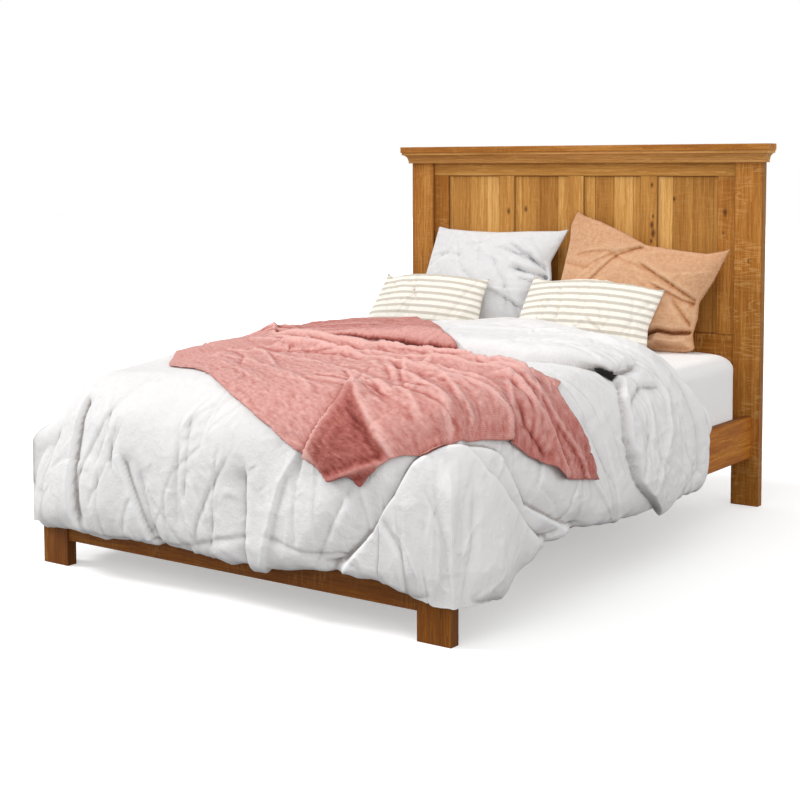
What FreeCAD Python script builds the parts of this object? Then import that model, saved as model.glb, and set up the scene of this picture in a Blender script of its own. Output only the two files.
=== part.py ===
"""Panel bed in oak, dressed: mattress, fitted sheet, folded-back duvet, linen throw and four pillows.

Frame: +X to the right seen from the foot, +Y from the foot to the headboard, +Z up from the floor.
While modelling, Y = 0 is the front face of the foot legs; everything is moved at the end so that
the origin lies on the floor under the middle of the whole bed. All sizes are in millimetres.
"""
import FreeCAD, Part
import math
import os
from FreeCAD import Vector

# ---------------------------------------------------------------- mattress and the gaps round it
mattress_width = 1524.0          # queen size
mattress_length = 2032.0
mattress_height = 300.0
mattress_corner_radius = 62.0    # seen from above
mattress_edge_radius = 28.0      # rolled top edge
mattress_side_gap = 7.0          # to each side rail
mattress_foot_gap = 12.0         # to the foot legs
mattress_head_gap = 21.0         # to the headboard posts
sheet_thickness = 1.5
sheet_hem_lift = 12.0            # lower edge of the mattress to the sheet's elastic hem
cloth_clearance = 0.3            # between a soft piece and what it lies on

# ---------------------------------------------------------------- side rails and low footboard
rail_thickness = 25.0
rail_height = 165.0
rail_bottom = 190.0              # floor to the lower edge of a side rail
rail_inset = 31.0                # outer face of a post to the outer face of a rail
leg_width = 116.0
leg_depth = 38.0
leg_height = 364.0
foot_rail_thickness = 25.0
foot_rail_height = 270.0
foot_rail_bottom = 84.0
foot_rail_setback = 6.0          # foot rail face behind the leg face

# ---------------------------------------------------------------- headboard frame and panels
post_width = 114.0
post_depth = 38.0
post_height = 1380.0             # up to the underside of the cap
frame_thickness = 22.0           # rails, stiles and muntins
frame_setback = 10.0             # frame face behind the post face
top_rail_height = 100.0
bottom_rail_height = 165.0
bottom_rail_top = 665.0
stile_width = 76.0
muntin_width = 76.0
panel_count = 4
panel_thickness = 12.0
tongue_thickness = 8.0
groove_depth = 10.0
panel_edge_gap = 1.0             # lets a panel swell in its groove
joint_clearance = 0.1            # glue line round tongues and tenons
tenon_length = 36.0
tenon_thickness = 9.0
tenon_shoulder = 15.0
eased_edge = 1.5                 # sanded edge of every board

# ---------------------------------------------------------------- crown moulding and cap
cap_thickness = 25.0
cap_overhang = 38.0
moulding_height = 46.0
moulding_projection = 34.0
lower_fillet_height = 10.0
lower_fillet_projection = 12.0
upper_fillet_height = 10.0
cove_quirk = 2.0                 # little step between a fillet and the cove
nailer_height = 40.0             # strip that backs the moulding between the posts

# ---------------------------------------------------------------- knock-down rail fastenings
plate_width = 16.0
plate_height = 130.0
plate_thickness = 3.0
hook_spacing = 70.0
hook_thickness = 4.0
hook_neck_height = 18.0
hook_lip_drop = 10.0
hook_lip_thickness = 4.0
hook_slot_height = 30.0
hook_running_gap = 0.2
hook_pocket_depth = 12.0
hook_pocket_sink = 1.0           # pocket below the tip of the dropped lip
hook_pocket_headroom = 14.0      # and above the top of the slot, to lift the hook in

# ---------------------------------------------------------------- slat base
ledger_width = 25.0
ledger_height = 38.0
slat_count = 12
slat_width = 89.0
slat_thickness = 19.0
slat_end_gap = 2.0
slat_top_below_rail_top = 59.0
slat_run_margin = 50.0           # first and last slat to the ends of the rails
beam_width = 38.0
beam_height = 64.0
beam_end_gap = 20.0
support_leg_side = 45.0
support_leg_count = 3
support_leg_margin = 210.0       # end of the beam to the middle of its first leg
glide_side = 38.0                # felt pad under each support leg
glide_thickness = 5.0
hanger_bolt_radius = 4.0
hanger_bolt_length = 70.0

# ---------------------------------------------------------------- duvet, turned back at the head
duvet_head_y = 1630.0            # where its folded head edge lies
duvet_crown = 92.0               # above the sheet
duvet_hem_z = 118.0
duvet_side_hem_rise = 52.0       # side hem higher than the hem at the foot
duvet_side_bulge = 55.0          # out from the leg faces at the fullest height
duvet_foot_bulge = 88.0
duvet_clearance = 3.0            # to the rails and the foot legs behind it
duvet_corner_radius = 170.0
duvet_fold_depth = 36.0          # how far each hanging fold swells at the fullest height
turnback_near_y = 735.0          # near edge of the folded-back part, on the top
turnback_tip_y = 1140.0          # near corner of its hanging side flap
turnback_hem_z = 174.0
turnback_thickness = 50.0        # proud of the duvet on the top
turnback_side_thickness = 22.0   # and on the sides
turnback_roll = 130.0            # length over which its near edge rounds down
turnback_shoulder = 0.9          # shoulder of its arch under the sheet's top, as a share of the crown
turnback_flat = 0.52             # half of its flat top, as a share of the duvet's half width
turnback_bend_in = 0.22          # middle of the arch in from the side, as a share of the arch's run
turnback_bend_up = 0.72          # and above the shoulder, as a share of its rise
turnback_draw_in = 0.5           # how much a side draws in for each millimetre that the top drops

# ---------------------------------------------------------------- throw laid over the foot corner
throw_thickness = 5.0
throw_foot_hem_z = 438.0
throw_corner_hem_z = 556.0       # the hem rises round the foot corner
throw_side_hem_z = 360.0
throw_left_y = (560.0, 1600.0)   # its ends where it runs over the left shoulder
throw_near_x = 26.0              # where its near edge runs over the foot
throw_far_side_y = 705.0         # its far edge on the right side, then the far edge from right to left
throw_far_edge = ((520.0, 725.0), (-60.0, 1230.0), (-460.0, 1600.0))

# ---------------------------------------------------------------- pillows
pillow_width = 665.0
pillow_height = 452.0
pillow_thickness = 165.0
pillow_draw_in = 26.0            # how far each side pulls in between its corners
lumbar_width = 560.0
lumbar_height = 262.0
lumbar_thickness = 112.0
lumbar_draw_in = 12.0
pillow_seam = 6.0                # thickness left at a sewn edge
pillow_places = ((-345.0, 15.0, 0.0), (372.0, 14.0, 10.0))      # X, degrees leant back, degrees rolled
lumbar_places = ((-560.0, 24.0, 2.0), (245.0, 24.0, 4.0))

# ---------------------------------------------------------------- sizes worked out from the above
rail_inner_x = mattress_width / 2 + mattress_side_gap
rail_outer_x = rail_inner_x + rail_thickness
half_width = rail_outer_x + rail_inset              # outer face of posts and legs
post_inner_x = half_width - post_width
leg_inner_x = half_width - leg_width
rail_start_y = leg_depth
mattress_y = rail_start_y + mattress_foot_gap
rail_end_y = mattress_y + mattress_length + mattress_head_gap   # front face of the posts
frame_y = rail_end_y + frame_setback
rail_top = rail_bottom + rail_height
slat_top = rail_top - slat_top_below_rail_top
slat_bottom = slat_top - slat_thickness
mattress_z = slat_top
sheet_top = mattress_z + mattress_height + cloth_clearance + sheet_thickness
post_back_y = rail_end_y + post_depth
top_rail_bottom = post_height - top_rail_height
panel_opening = (2 * post_inner_x - 2 * stile_width - (panel_count - 1) * muntin_width) / panel_count
groove_y = frame_y + (frame_thickness - tongue_thickness) / 2
overall_front_y = -duvet_foot_bulge
overall_middle_y = (overall_front_y + post_back_y) / 2
FAR = 4000.0                     # longer than anything here, for cutting blocks

parts = {}


def box(x0, x1, y0, y1, z0, z1):
    """Plain block between two corners."""
    return Part.makeBox(x1 - x0, y1 - y0, z1 - z0, Vector(x0, y0, z0))


def board(axis, x0, x1, y0, y1, z0, z1, ease=eased_edge):
    """Sawn board whose four long edges, those along the axis, are sanded off."""
    spans = {"x": ((y0, y1), (z0, z1)), "y": ((x0, x1), (z0, z1)), "z": ((x0, x1), (y0, y1))}[axis]
    (a0, a1), (b0, b1) = spans
    corners = [(a0 + ease, b0), (a1 - ease, b0), (a1, b0 + ease), (a1, b1 - ease),
               (a1 - ease, b1), (a0 + ease, b1), (a0, b1 - ease), (a0, b0 + ease)]
    place = {"x": lambda a, b: Vector(x0, a, b),
             "y": lambda a, b: Vector(a, y0, b),
             "z": lambda a, b: Vector(a, b, z0)}[axis]
    run = {"x": Vector(x1 - x0, 0, 0), "y": Vector(0, y1 - y0, 0), "z": Vector(0, 0, z1 - z0)}[axis]
    wire = Part.makePolygon([place(a, b) for a, b in corners + corners[:1]])
    return Part.Face(wire).extrude(run)


def mirrored(shape):
    """The same piece on the other side of the bed."""
    return shape.mirror(Vector(0, 0, 0), Vector(1, 0, 0))


# ================================================================ headboard
def tenon(x_shoulder, side, z0, z1, y_middle, grow=0.0):
    """Tenon that leaves a shoulder at x and points to the given side, or its mortise when grown."""
    x0, x1 = sorted((x_shoulder, x_shoulder + side * (tenon_length + grow)))
    half = tenon_thickness / 2 + grow
    return box(x0, x1, y_middle - half, y_middle + half, z0 - grow, z1 + grow)


def frame_rail(z0, z1, groove_up):
    """Cross rail between the posts, tenoned into both, grooved on the edge that holds the panels."""
    y_middle = frame_y + frame_thickness / 2
    rail = board("x", -post_inner_x, post_inner_x, frame_y, frame_y + frame_thickness, z0, z1)
    for side in (-1, 1):
        rail = rail.fuse(tenon(side * post_inner_x, side, z0 + tenon_shoulder, z1 - tenon_shoulder,
                               y_middle))
    edge = (z1 - groove_depth, z1 + 1) if groove_up else (z0 - 1, z0 + groove_depth)
    groove = box(-post_inner_x - 1, post_inner_x + 1, groove_y - joint_clearance,
                 groove_y + tongue_thickness + joint_clearance, *edge)
    return rail.cut(groove).removeSplitter()


def upright(x0, x1, grooves):
    """Stile or muntin: stub tenons top and bottom fill the rail grooves, and its edges are grooved."""
    piece = board("z", x0, x1, frame_y, frame_y + frame_thickness, bottom_rail_top, top_rail_bottom)
    stub = groove_depth - joint_clearance
    piece = piece.fuse(box(x0, x1, groove_y, groove_y + tongue_thickness,
                           bottom_rail_top - stub, top_rail_bottom + stub))
    for x_from, x_to in grooves:
        piece = piece.cut(box(x_from, x_to, groove_y - joint_clearance,
                              groove_y + tongue_thickness + joint_clearance,
                              bottom_rail_top - groove_depth, top_rail_bottom + groove_depth))
    return piece.removeSplitter()


def panel(x0):
    """Flat panel whose back is rebated to leave a tongue that floats in the grooves."""
    x1 = x0 + panel_opening
    reach = groove_depth - panel_edge_gap
    tongue = box(x0 - reach, x1 + reach, groove_y, groove_y + tongue_thickness,
                 bottom_rail_top - reach, top_rail_bottom + reach)
    field = box(x0 + panel_edge_gap, x1 - panel_edge_gap, groove_y, groove_y + panel_thickness,
                bottom_rail_top + panel_edge_gap, top_rail_bottom - panel_edge_gap)
    return tongue.fuse(field).removeSplitter()


def headboard_post():
    """Right-hand post with its two mortises and the housing of the rail fastening."""
    post = board("z", post_inner_x, half_width, rail_end_y, post_back_y, 0, post_height)
    y_middle = frame_y + frame_thickness / 2
    for z0, z1 in ((top_rail_bottom, post_height), (bottom_rail_top - bottom_rail_height, bottom_rail_top)):
        mortise = tenon(post_inner_x, 1, z0 + tenon_shoulder, z1 - tenon_shoulder, y_middle,
                        joint_clearance)
        post = post.cut(mortise)
    return cut_receiver_housing(post, rail_end_y, 1)


def moulding_profile():
    """Crown section as (projection, height) edges: lower fillet, cove, upper fillet."""
    cove_low = (lower_fillet_projection + cove_quirk, lower_fillet_height + cove_quirk)
    cove_top = (moulding_projection, moulding_height - upper_fillet_height)
    run, rise = cove_top[0] - cove_low[0], cove_top[1] - cove_low[1]
    middle = (cove_low[0] + run * (1 - math.cos(math.pi / 4)), cove_low[1] + rise * math.sin(math.pi / 4))
    outline = [(0, 0), (lower_fillet_projection, 0), (lower_fillet_projection, lower_fillet_height),
               cove_low, cove_top, (moulding_projection, moulding_height), (0, moulding_height), (0, 0)]
    return outline, middle


def moulding_run(place, run):
    """Extrudes the crown section: place turns (projection, height) into a point, run is the length."""
    outline, middle = moulding_profile()
    edges = []
    for index, (start, end) in enumerate(zip(outline, outline[1:])):
        if index == 3:
            edges.append(Part.Arc(place(*start), place(*middle), place(*end)).toShape())
        else:
            edges.append(Part.LineSegment(place(*start), place(*end)).toShape())
    return Part.Face(Part.Wire(edges)).extrude(run)


def mitre_block(side, keep_front):
    """Half of space in front of, or beside, the mitre line that runs out from a post corner."""
    z0, z1 = post_height - moulding_height - 1, post_height + 1
    corner = Vector(side * half_width, rail_end_y, z0)
    out = Vector(side * FAR, -FAR, 0)
    other = Vector(-side * FAR, -FAR, 0) if keep_front else Vector(side * FAR, FAR, 0)
    wire = Part.makePolygon([corner - out, corner + out, corner + other, corner - out])
    return Part.Face(wire).extrude(Vector(0, 0, z1 - z0))


def crown():
    """Front run and two side returns of the moulding, mitred at the corners, and the cap above."""
    z0 = post_height - moulding_height
    reach = half_width + moulding_projection + 1
    front = moulding_run(lambda p, z: Vector(-reach, rail_end_y - p, z0 + z), Vector(2 * reach, 0, 0))
    for side in (-1, 1):
        front = front.common(mitre_block(side, True))
    start = rail_end_y - moulding_projection - 1
    side_run = moulding_run(lambda p, z: Vector(half_width + p, start, z0 + z),
                            Vector(0, post_back_y - start, 0)).common(mitre_block(1, False))
    cap_x = half_width + cap_overhang
    cap = board("x", -cap_x, cap_x, rail_end_y - cap_overhang, post_back_y,
                post_height, post_height + cap_thickness)
    nailer = board("x", -post_inner_x, post_inner_x, rail_end_y, frame_y,
                   post_height - nailer_height, post_height)
    parts["crown_moulding_front"] = front
    parts["crown_moulding_right"] = side_run
    parts["crown_moulding_left"] = mirrored(side_run)
    parts["crown_cap"] = cap
    parts["crown_nailer"] = nailer


def headboard():
    """Posts, rails and stiles, then panels and muntins by turns from left to right."""
    post = headboard_post()
    parts["headboard_post_right"] = post
    parts["headboard_post_left"] = mirrored(post)
    parts["headboard_top_rail"] = frame_rail(top_rail_bottom, post_height, False)
    parts["headboard_bottom_rail"] = frame_rail(bottom_rail_top - bottom_rail_height, bottom_rail_top, True)
    first = -post_inner_x + stile_width
    parts["headboard_stile_left"] = upright(-post_inner_x, first, [(first - groove_depth, first + 1)])
    parts["headboard_stile_right"] = upright(-first, post_inner_x, [(-first - 1, -first + groove_depth)])
    x = first
    for number in range(1, panel_count + 1):
        parts["headboard_panel_%d" % number] = panel(x)
        x += panel_opening
        if number < panel_count:
            grooves = [(x - 1, x + groove_depth), (x + muntin_width - groove_depth, x + muntin_width + 1)]
            parts["headboard_muntin_%d" % number] = upright(x, x + muntin_width, grooves)
            x += muntin_width


# ================================================================ hook-and-slot rail fastenings
plate_x = (rail_inner_x + rail_outer_x) / 2
plate_z = rail_bottom + rail_height / 2
hook_levels = (plate_z - hook_spacing / 2, plate_z + hook_spacing / 2)


def span(y, into, depth):
    """Sorted Y range that starts at a face and goes the given way by the depth."""
    return sorted((y, y + into * depth))


def plate_block(y, into, grow=0.0):
    """Plate let in flush at the face y. into is +1 where the wood lies towards the headboard."""
    y0, y1 = span(y, into, plate_thickness)
    half = plate_width / 2 + grow
    return box(plate_x - half, plate_x + half, y0, y1,
               plate_z - plate_height / 2 - grow, plate_z + plate_height / 2 + grow)


def cut_receiver_housing(post, y, into):
    """Housing of the slotted plate in a post or leg, with a pocket behind each slot."""
    post = post.cut(plate_block(y, into, joint_clearance))
    for z in hook_levels:
        y0, y1 = span(y, into, plate_thickness + hook_pocket_depth)
        half = hook_thickness
        low = z - hook_neck_height / 2 - hook_lip_drop - hook_pocket_sink
        high = low + hook_slot_height + hook_pocket_headroom
        post = post.cut(box(plate_x - half, plate_x + half, y0, y1, low, high))
    return post


def receiver_plate(y, into):
    """Slotted steel plate. The neck of each hook rests on the lower end of its slot."""
    plate = plate_block(y, into)
    y0, y1 = span(y, into, plate_thickness)
    for z in hook_levels:
        low = z - hook_neck_height / 2
        half = hook_thickness / 2 + hook_running_gap
        plate = plate.cut(box(plate_x - half, plate_x + half, y0, y1, low, low + hook_slot_height))
    return plate


def hook_plate(y, into):
    """Plate let into the end of a rail, with two hooks that drop behind the slotted plate."""
    plate = plate_block(y, -into)
    for z in hook_levels:
        low, high = z - hook_neck_height / 2, z + hook_neck_height / 2
        neck_end = y + into * (plate_thickness + hook_running_gap)
        lip_end = neck_end + into * hook_lip_thickness
        outline = [(y, low), (neck_end, low), (neck_end, low - hook_lip_drop), (lip_end, low - hook_lip_drop),
                   (lip_end, high), (y, high), (y, low)]
        wire = Part.makePolygon([Vector(plate_x - hook_thickness / 2, a, b) for a, b in outline])
        plate = plate.fuse(Part.Face(wire).extrude(Vector(hook_thickness, 0, 0)))
    return plate.removeSplitter()


def rail_fastenings():
    """Hook plates and slotted plates at both ends of both rails."""
    ends = ((rail_end_y, 1), (rail_start_y, -1))
    for name, make in (("rail_hook_plates", hook_plate), ("rail_slot_plates", receiver_plate)):
        solids = [make(y, into) for y, into in ends]
        parts[name] = Part.makeCompound(solids + [mirrored(solid) for solid in solids])


# ================================================================ footboard and side rails
def footboard():
    """Two legs and the broad rail tenoned between them."""
    leg = board("z", leg_inner_x, half_width, 0, leg_depth, 0, leg_height)
    z0, z1 = foot_rail_bottom, foot_rail_bottom + foot_rail_height
    y0, y1 = foot_rail_setback, foot_rail_setback + foot_rail_thickness
    y_middle = (y0 + y1) / 2
    leg = leg.cut(tenon(leg_inner_x, 1, z0 + tenon_shoulder, z1 - tenon_shoulder, y_middle, joint_clearance))
    leg = cut_receiver_housing(leg, rail_start_y, -1)
    rail = board("x", -leg_inner_x, leg_inner_x, y0, y1, z0, z1)
    for side in (-1, 1):
        rail = rail.fuse(tenon(side * leg_inner_x, side, z0 + tenon_shoulder, z1 - tenon_shoulder, y_middle))
    parts["foot_leg_right"] = leg
    parts["foot_leg_left"] = mirrored(leg)
    parts["footboard_rail"] = rail.removeSplitter()


ledger_inner_x = rail_inner_x - ledger_width


def side_rail():
    """Right-hand side rail with a hook plate let in at each end."""
    rail = board("y", rail_inner_x, rail_outer_x, rail_start_y, rail_end_y, rail_bottom, rail_top)
    for y, into in ((rail_end_y, 1), (rail_start_y, -1)):
        rail = rail.cut(plate_block(y, -into, joint_clearance))
    return rail


def slat_ledger():
    """Strip fixed inside the rail that carries the ends of the slats."""
    return board("y", ledger_inner_x, rail_inner_x, rail_start_y, rail_end_y,
                 slat_bottom - ledger_height, slat_bottom)


def side_rails():
    """Both side rails with the ledgers that carry the slats."""
    rail, ledger = side_rail(), slat_ledger()
    parts["side_rail_right"] = rail
    parts["side_rail_left"] = mirrored(rail)
    parts["slat_ledger_right"] = ledger
    parts["slat_ledger_left"] = mirrored(ledger)


# ================================================================ slats, beam and its legs
slat_half_length = rail_inner_x - slat_end_gap
beam_y0, beam_y1 = rail_start_y + beam_end_gap, rail_end_y - beam_end_gap
beam_bottom = slat_bottom - beam_height


def slat_middles():
    """Y of the middle of each slat, evenly spaced between the ends of the rails."""
    first = rail_start_y + slat_run_margin + slat_width / 2
    last = rail_end_y - slat_run_margin - slat_width / 2
    step = (last - first) / (slat_count - 1)
    return [first + step * n for n in range(slat_count)]


def slat_base():
    """Slats on the ledgers and on the middle beam, whose legs are bolted up into it."""
    for number, y in enumerate(slat_middles(), 1):
        parts["slat_%02d" % number] = board("x", -slat_half_length, slat_half_length,
                                            y - slat_width / 2, y + slat_width / 2, slat_bottom, slat_top)
    beam = board("y", -beam_width / 2, beam_width / 2, beam_y0, beam_y1, beam_bottom, slat_bottom)
    first, last = beam_y0 + support_leg_margin, beam_y1 - support_leg_margin
    step = (last - first) / (support_leg_count - 1)
    half = support_leg_side / 2
    bolts, glides = [], []
    for number in range(support_leg_count):
        y = first + step * number
        bolt_foot = Vector(0, y, beam_bottom - hanger_bolt_length / 2)
        hole = Part.makeCylinder(hanger_bolt_radius + joint_clearance, hanger_bolt_length, bolt_foot)
        leg = board("z", -half, half, y - half, y + half, glide_thickness, beam_bottom)
        parts["support_leg_%d" % (number + 1)] = leg.cut(hole)
        beam = beam.cut(hole)
        bolts.append(Part.makeCylinder(hanger_bolt_radius, hanger_bolt_length, bolt_foot))
        pad = glide_side / 2
        glides.append(box(-pad, pad, y - pad, y + pad, 0, glide_thickness))
    parts["centre_beam"] = beam
    parts["leg_hanger_bolts"] = Part.makeCompound(bolts)
    parts["leg_felt_pads"] = Part.makeCompound(glides)


# ================================================================ mattress and fitted sheet
def mattress_form(grow=0.0):
    """The mattress with rounded corners and rolled upper edges, or the same form grown all round."""
    body = box(-mattress_width / 2 - grow, mattress_width / 2 + grow,
               mattress_y - grow, mattress_y + mattress_length + grow,
               mattress_z - grow, mattress_z + mattress_height + grow)
    upright_edges = [e for e in body.Edges if abs(e.tangentAt(e.FirstParameter).z) > 0.9]
    body = body.makeFillet(mattress_corner_radius + grow, upright_edges)
    rim = [e for e in body.Edges if e.BoundBox.ZMin > mattress_z + mattress_height / 2]
    return body.makeFillet(mattress_edge_radius + grow, rim)


def mattress_and_sheet():
    """The sheet is a thin cap over the mattress, down to a little above its lower edge."""
    parts["mattress"] = mattress_form()
    lower_part = box(-FAR, FAR, -FAR, FAR, -FAR, mattress_z + sheet_hem_lift)
    sheet = mattress_form(cloth_clearance + sheet_thickness).cut(mattress_form(cloth_clearance))
    parts["fitted_sheet"] = sheet.cut(lower_part)


# ================================================================ duvet
duvet_top = sheet_top + duvet_crown
duvet_side_x = half_width + duvet_side_bulge
# each level: height, how far in from the fullest outline, share of the fold depth
duvet_levels = (
    (duvet_hem_z, 24.0, 0.8),
    (duvet_hem_z + 100.0, 0.0, 1.0),
    (sheet_top - 180.0, 2.0, 0.8),
    (sheet_top - 60.0, 32.0, 0.45),
    (sheet_top + 0.40 * duvet_crown, 112.0, 0.18),
    (sheet_top + 0.82 * duvet_crown, 235.0, 0.08),
    (duvet_top, 420.0, 0.04),
)
# creases between the hanging folds, as shares of each side: down the right, along the foot, up the left
right_creases = (0.45, 0.79)
foot_creases = (0.16, 0.44, 0.72)
left_creases = (0.30, 0.64)


def swelling(start, end, depth):
    """Arc from start to end that swells out by depth on the left of the way it runs."""
    chord = end - start
    outward = Vector(-chord.y, chord.x, 0).normalize()
    return Part.Arc(start, (start + end) * 0.5 + outward * depth, end).toShape()


def duvet_outline(level, grow):
    """Closed outline at one height: folds down the right side, round the foot and up the left."""
    z, inset, fold = level
    x = duvet_side_x - inset + grow
    front = -duvet_foot_bulge + inset - grow
    head = (turnback_near_y + turnback_roll + duvet_head_y) / 2
    depth = duvet_fold_depth * fold
    radius = duvet_corner_radius
    crease_x, crease_y = x - depth, front + depth
    side_run, foot_run = head - (front + radius), 2 * (x - radius)
    right = [Vector(crease_x, head - share * side_run, z) for share in (0.0,) + right_creases + (1.0,)]
    foot = [Vector(x - radius - share * foot_run, crease_y, z) for share in (0.0,) + foot_creases + (1.0,)]
    left = [Vector(-crease_x, front + radius + share * side_run, z)
            for share in (0.0,) + left_creases + (1.0,)]
    edges = []
    for fold_line in (right, foot, left):
        edges += [swelling(a, b, depth) for a, b in zip(fold_line, fold_line[1:])]
    # a quarter circle rises 0.21 of its chord, and the fold's swell adds to it
    corner_sag = 0.21 * (right[-1] - foot[0]).Length + 0.4 * depth
    edges.insert(len(right) - 1, swelling(right[-1], foot[0], corner_sag))
    edges.insert(len(right) + len(foot) - 1, swelling(foot[-1], left[0], corner_sag))
    edges.append(Part.LineSegment(left[-1], right[0]).toShape())
    return Part.Wire(edges)


def duvet_body(grow=0.0):
    """The duvet over the bed, from its hem up to its crown."""
    wires = []
    for number, (z, inset, fold) in enumerate(duvet_levels):
        lift = grow * number / (len(duvet_levels) - 1)
        wires.append(duvet_outline((z + lift, inset, fold), grow))
    return Part.makeLoft(wires, True, True)


def turnback_section(y, share, drop, grow):
    """Arched section of the folded-back part: share of its full thickness, top lowered by drop."""
    x = duvet_side_x + turnback_side_thickness * share - turnback_draw_in * drop + grow
    top = duvet_top + turnback_thickness * share - drop + grow
    shoulder = sheet_top - turnback_shoulder * duvet_crown
    rise, run = top - shoulder, x - turnback_flat * duvet_side_x
    crown_x = x - run

    def bend(side):
        return Vector(side * (x - turnback_bend_in * run), y, shoulder + turnback_bend_up * rise)

    low_right, up_right = Vector(x, y, turnback_hem_z), Vector(x, y, shoulder)
    low_left, up_left = Vector(-x, y, turnback_hem_z), Vector(-x, y, shoulder)
    crown_right, crown_left = Vector(crown_x, y, top), Vector(-crown_x, y, top)
    return Part.Wire([
        Part.LineSegment(low_right, up_right).toShape(),
        Part.Arc(up_right, bend(1), crown_right).toShape(),
        Part.LineSegment(crown_right, crown_left).toShape(),
        Part.Arc(crown_left, bend(-1), up_left).toShape(),
        Part.LineSegment(up_left, low_left).toShape(),
        Part.LineSegment(low_left, low_right).toShape()])


def turnback(grow=0.0):
    """The head end of the duvet folded back over itself, its hanging sides cut on the slant."""
    near, far = turnback_near_y - grow, duvet_head_y
    stations = ((near, 0.0, 6.0), (near + 0.35 * turnback_roll, 0.7, 0.0), (near + turnback_roll, 1.0, 0.0),
                (far - turnback_roll, 1.0, 0.0), (far - 0.35 * turnback_roll, 0.7, 0.0),
                (far + grow, 0.0, 0.5 * duvet_crown))
    band = Part.makeLoft([turnback_section(y, share, drop, grow) for y, share, drop in stations], True, True)
    outline = [(-FAR, -FAR), (-FAR, duvet_top), (near, duvet_top), (turnback_tip_y - grow, turnback_hem_z),
               (turnback_tip_y - grow, -FAR), (-FAR, -FAR)]
    below_fold = Part.Face(Part.makePolygon([Vector(-FAR, y, z) for y, z in outline]))
    return band.cut(below_fold.extrude(Vector(2 * FAR, 0, 0)))


def bed_room():
    """The space inside the duvet that the sheet, the rails and the foot legs take up."""
    clear = duvet_clearance
    inside = mattress_form(2 * cloth_clearance + sheet_thickness)
    below = box(-half_width - clear, half_width + clear, -clear, FAR, -FAR, leg_height + clear)
    middle = box(-mattress_width / 2 + mattress_edge_radius, mattress_width / 2 - mattress_edge_radius,
                 mattress_y + mattress_edge_radius, FAR, 0, mattress_z + mattress_height / 2)
    return inside.fuse(below).fuse(middle)


def hem_wedge():
    """What is cut away below the hem, which rises from the foot towards the head."""
    start, end = leg_depth, leg_depth + 3 * duvet_corner_radius
    high = duvet_hem_z + duvet_side_hem_rise
    outline = [(start, -FAR), (start, duvet_hem_z), (end, high), (FAR, high), (FAR, -FAR), (start, -FAR)]
    wire = Part.makePolygon([Vector(-FAR, y, z) for y, z in outline])
    return Part.Face(wire).extrude(Vector(2 * FAR, 0, 0))


def duvet():
    """Body and folded-back end as one piece, hollowed to lie over the bed."""
    parts["duvet"] = duvet_body().fuse(turnback()).cut(bed_room()).cut(hem_wedge())


# ================================================================ throw
def throw_outline():
    """Everything over the throw's outline seen from above."""
    left_x = -(duvet_side_x - 2 * throw_thickness)
    near_y, far_y = throw_left_y
    foot_y = -duvet_foot_bulge
    corners = [(left_x, near_y), (throw_near_x, foot_y), (throw_near_x + 2 * throw_thickness, -FAR),
               (FAR, -FAR), (FAR, throw_far_side_y)] + list(throw_far_edge) + [(left_x, far_y)]
    wire = Part.makePolygon([Vector(x, y, 0) for x, y in corners + corners[:1]])
    return Part.Face(wire).extrude(Vector(0, 0, FAR))


def throw_hem():
    """What is cut away below the hem, which rises round the foot corner and falls along the side."""
    corner_y = 0.7 * duvet_corner_radius
    outline = [(-FAR, throw_foot_hem_z), (-0.5 * duvet_foot_bulge, throw_foot_hem_z),
               (corner_y, throw_corner_hem_z), (throw_far_side_y, throw_side_hem_z),
               (FAR, throw_side_hem_z), (FAR, -FAR), (-FAR, -FAR), (-FAR, throw_foot_hem_z)]
    wire = Part.makePolygon([Vector(-FAR, y, z) for y, z in outline])
    return Part.Face(wire).extrude(Vector(2 * FAR, 0, 0))


def throw_blanket():
    """A thin layer that follows the duvet, trimmed to the throw's outline and hanging hems."""
    near, far = cloth_clearance, cloth_clearance + throw_thickness
    outer = duvet_body(far).fuse(turnback(far))
    inner = duvet_body(near).fuse(turnback(near))
    return outer.common(throw_outline()).cut(inner).cut(throw_hem())


# ================================================================ pillows
def lens_prism(height, thickness, length):
    """Lens section of the given height and thickness, run along X over the length."""
    top, bottom, seam = height / 2, -height / 2, pillow_seam / 2
    x = -length / 2
    front = Part.Arc(Vector(x, -seam, bottom), Vector(x, -thickness / 2, 0), Vector(x, -seam, top))
    back = Part.Arc(Vector(x, seam, top), Vector(x, thickness / 2, 0), Vector(x, seam, bottom))
    upper = Part.LineSegment(front.toShape().Vertexes[-1].Point, Vector(x, seam, top))
    lower = Part.LineSegment(Vector(x, seam, bottom), Vector(x, -seam, bottom))
    wire = Part.Wire([front.toShape(), upper.toShape(), back.toShape(), lower.toShape()])
    return Part.Face(wire).extrude(Vector(length, 0, 0))


def pillow(width, height, thickness, draw_in):
    """Crowned pillow upright in the XZ plane: two crossed lens sections, sides drawn in to the ears."""
    along = lens_prism(height, thickness, 2 * width)
    across = lens_prism(width, thickness, 2 * width)
    across.rotate(Vector(0, 0, 0), Vector(0, 1, 0), 90)
    x, z, y = width / 2, height / 2, -thickness
    ears = [Vector(-x, y, -z), Vector(x, y, -z), Vector(x, y, z), Vector(-x, y, z)]
    waists = [Vector(0, y, -z + draw_in), Vector(x - draw_in, y, 0),
              Vector(0, y, z - draw_in), Vector(-x + draw_in, y, 0)]
    sides = [Part.Arc(ears[n], waists[n], ears[(n + 1) % 4]).toShape() for n in range(4)]
    outline = Part.Face(Part.Wire(sides)).extrude(Vector(0, 2 * thickness, 0))
    return along.common(across).common(outline)


def exact_box(shape):
    """Box that touches the shape's curved faces themselves."""
    return shape.optimalBoundingBox(False, False)


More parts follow.
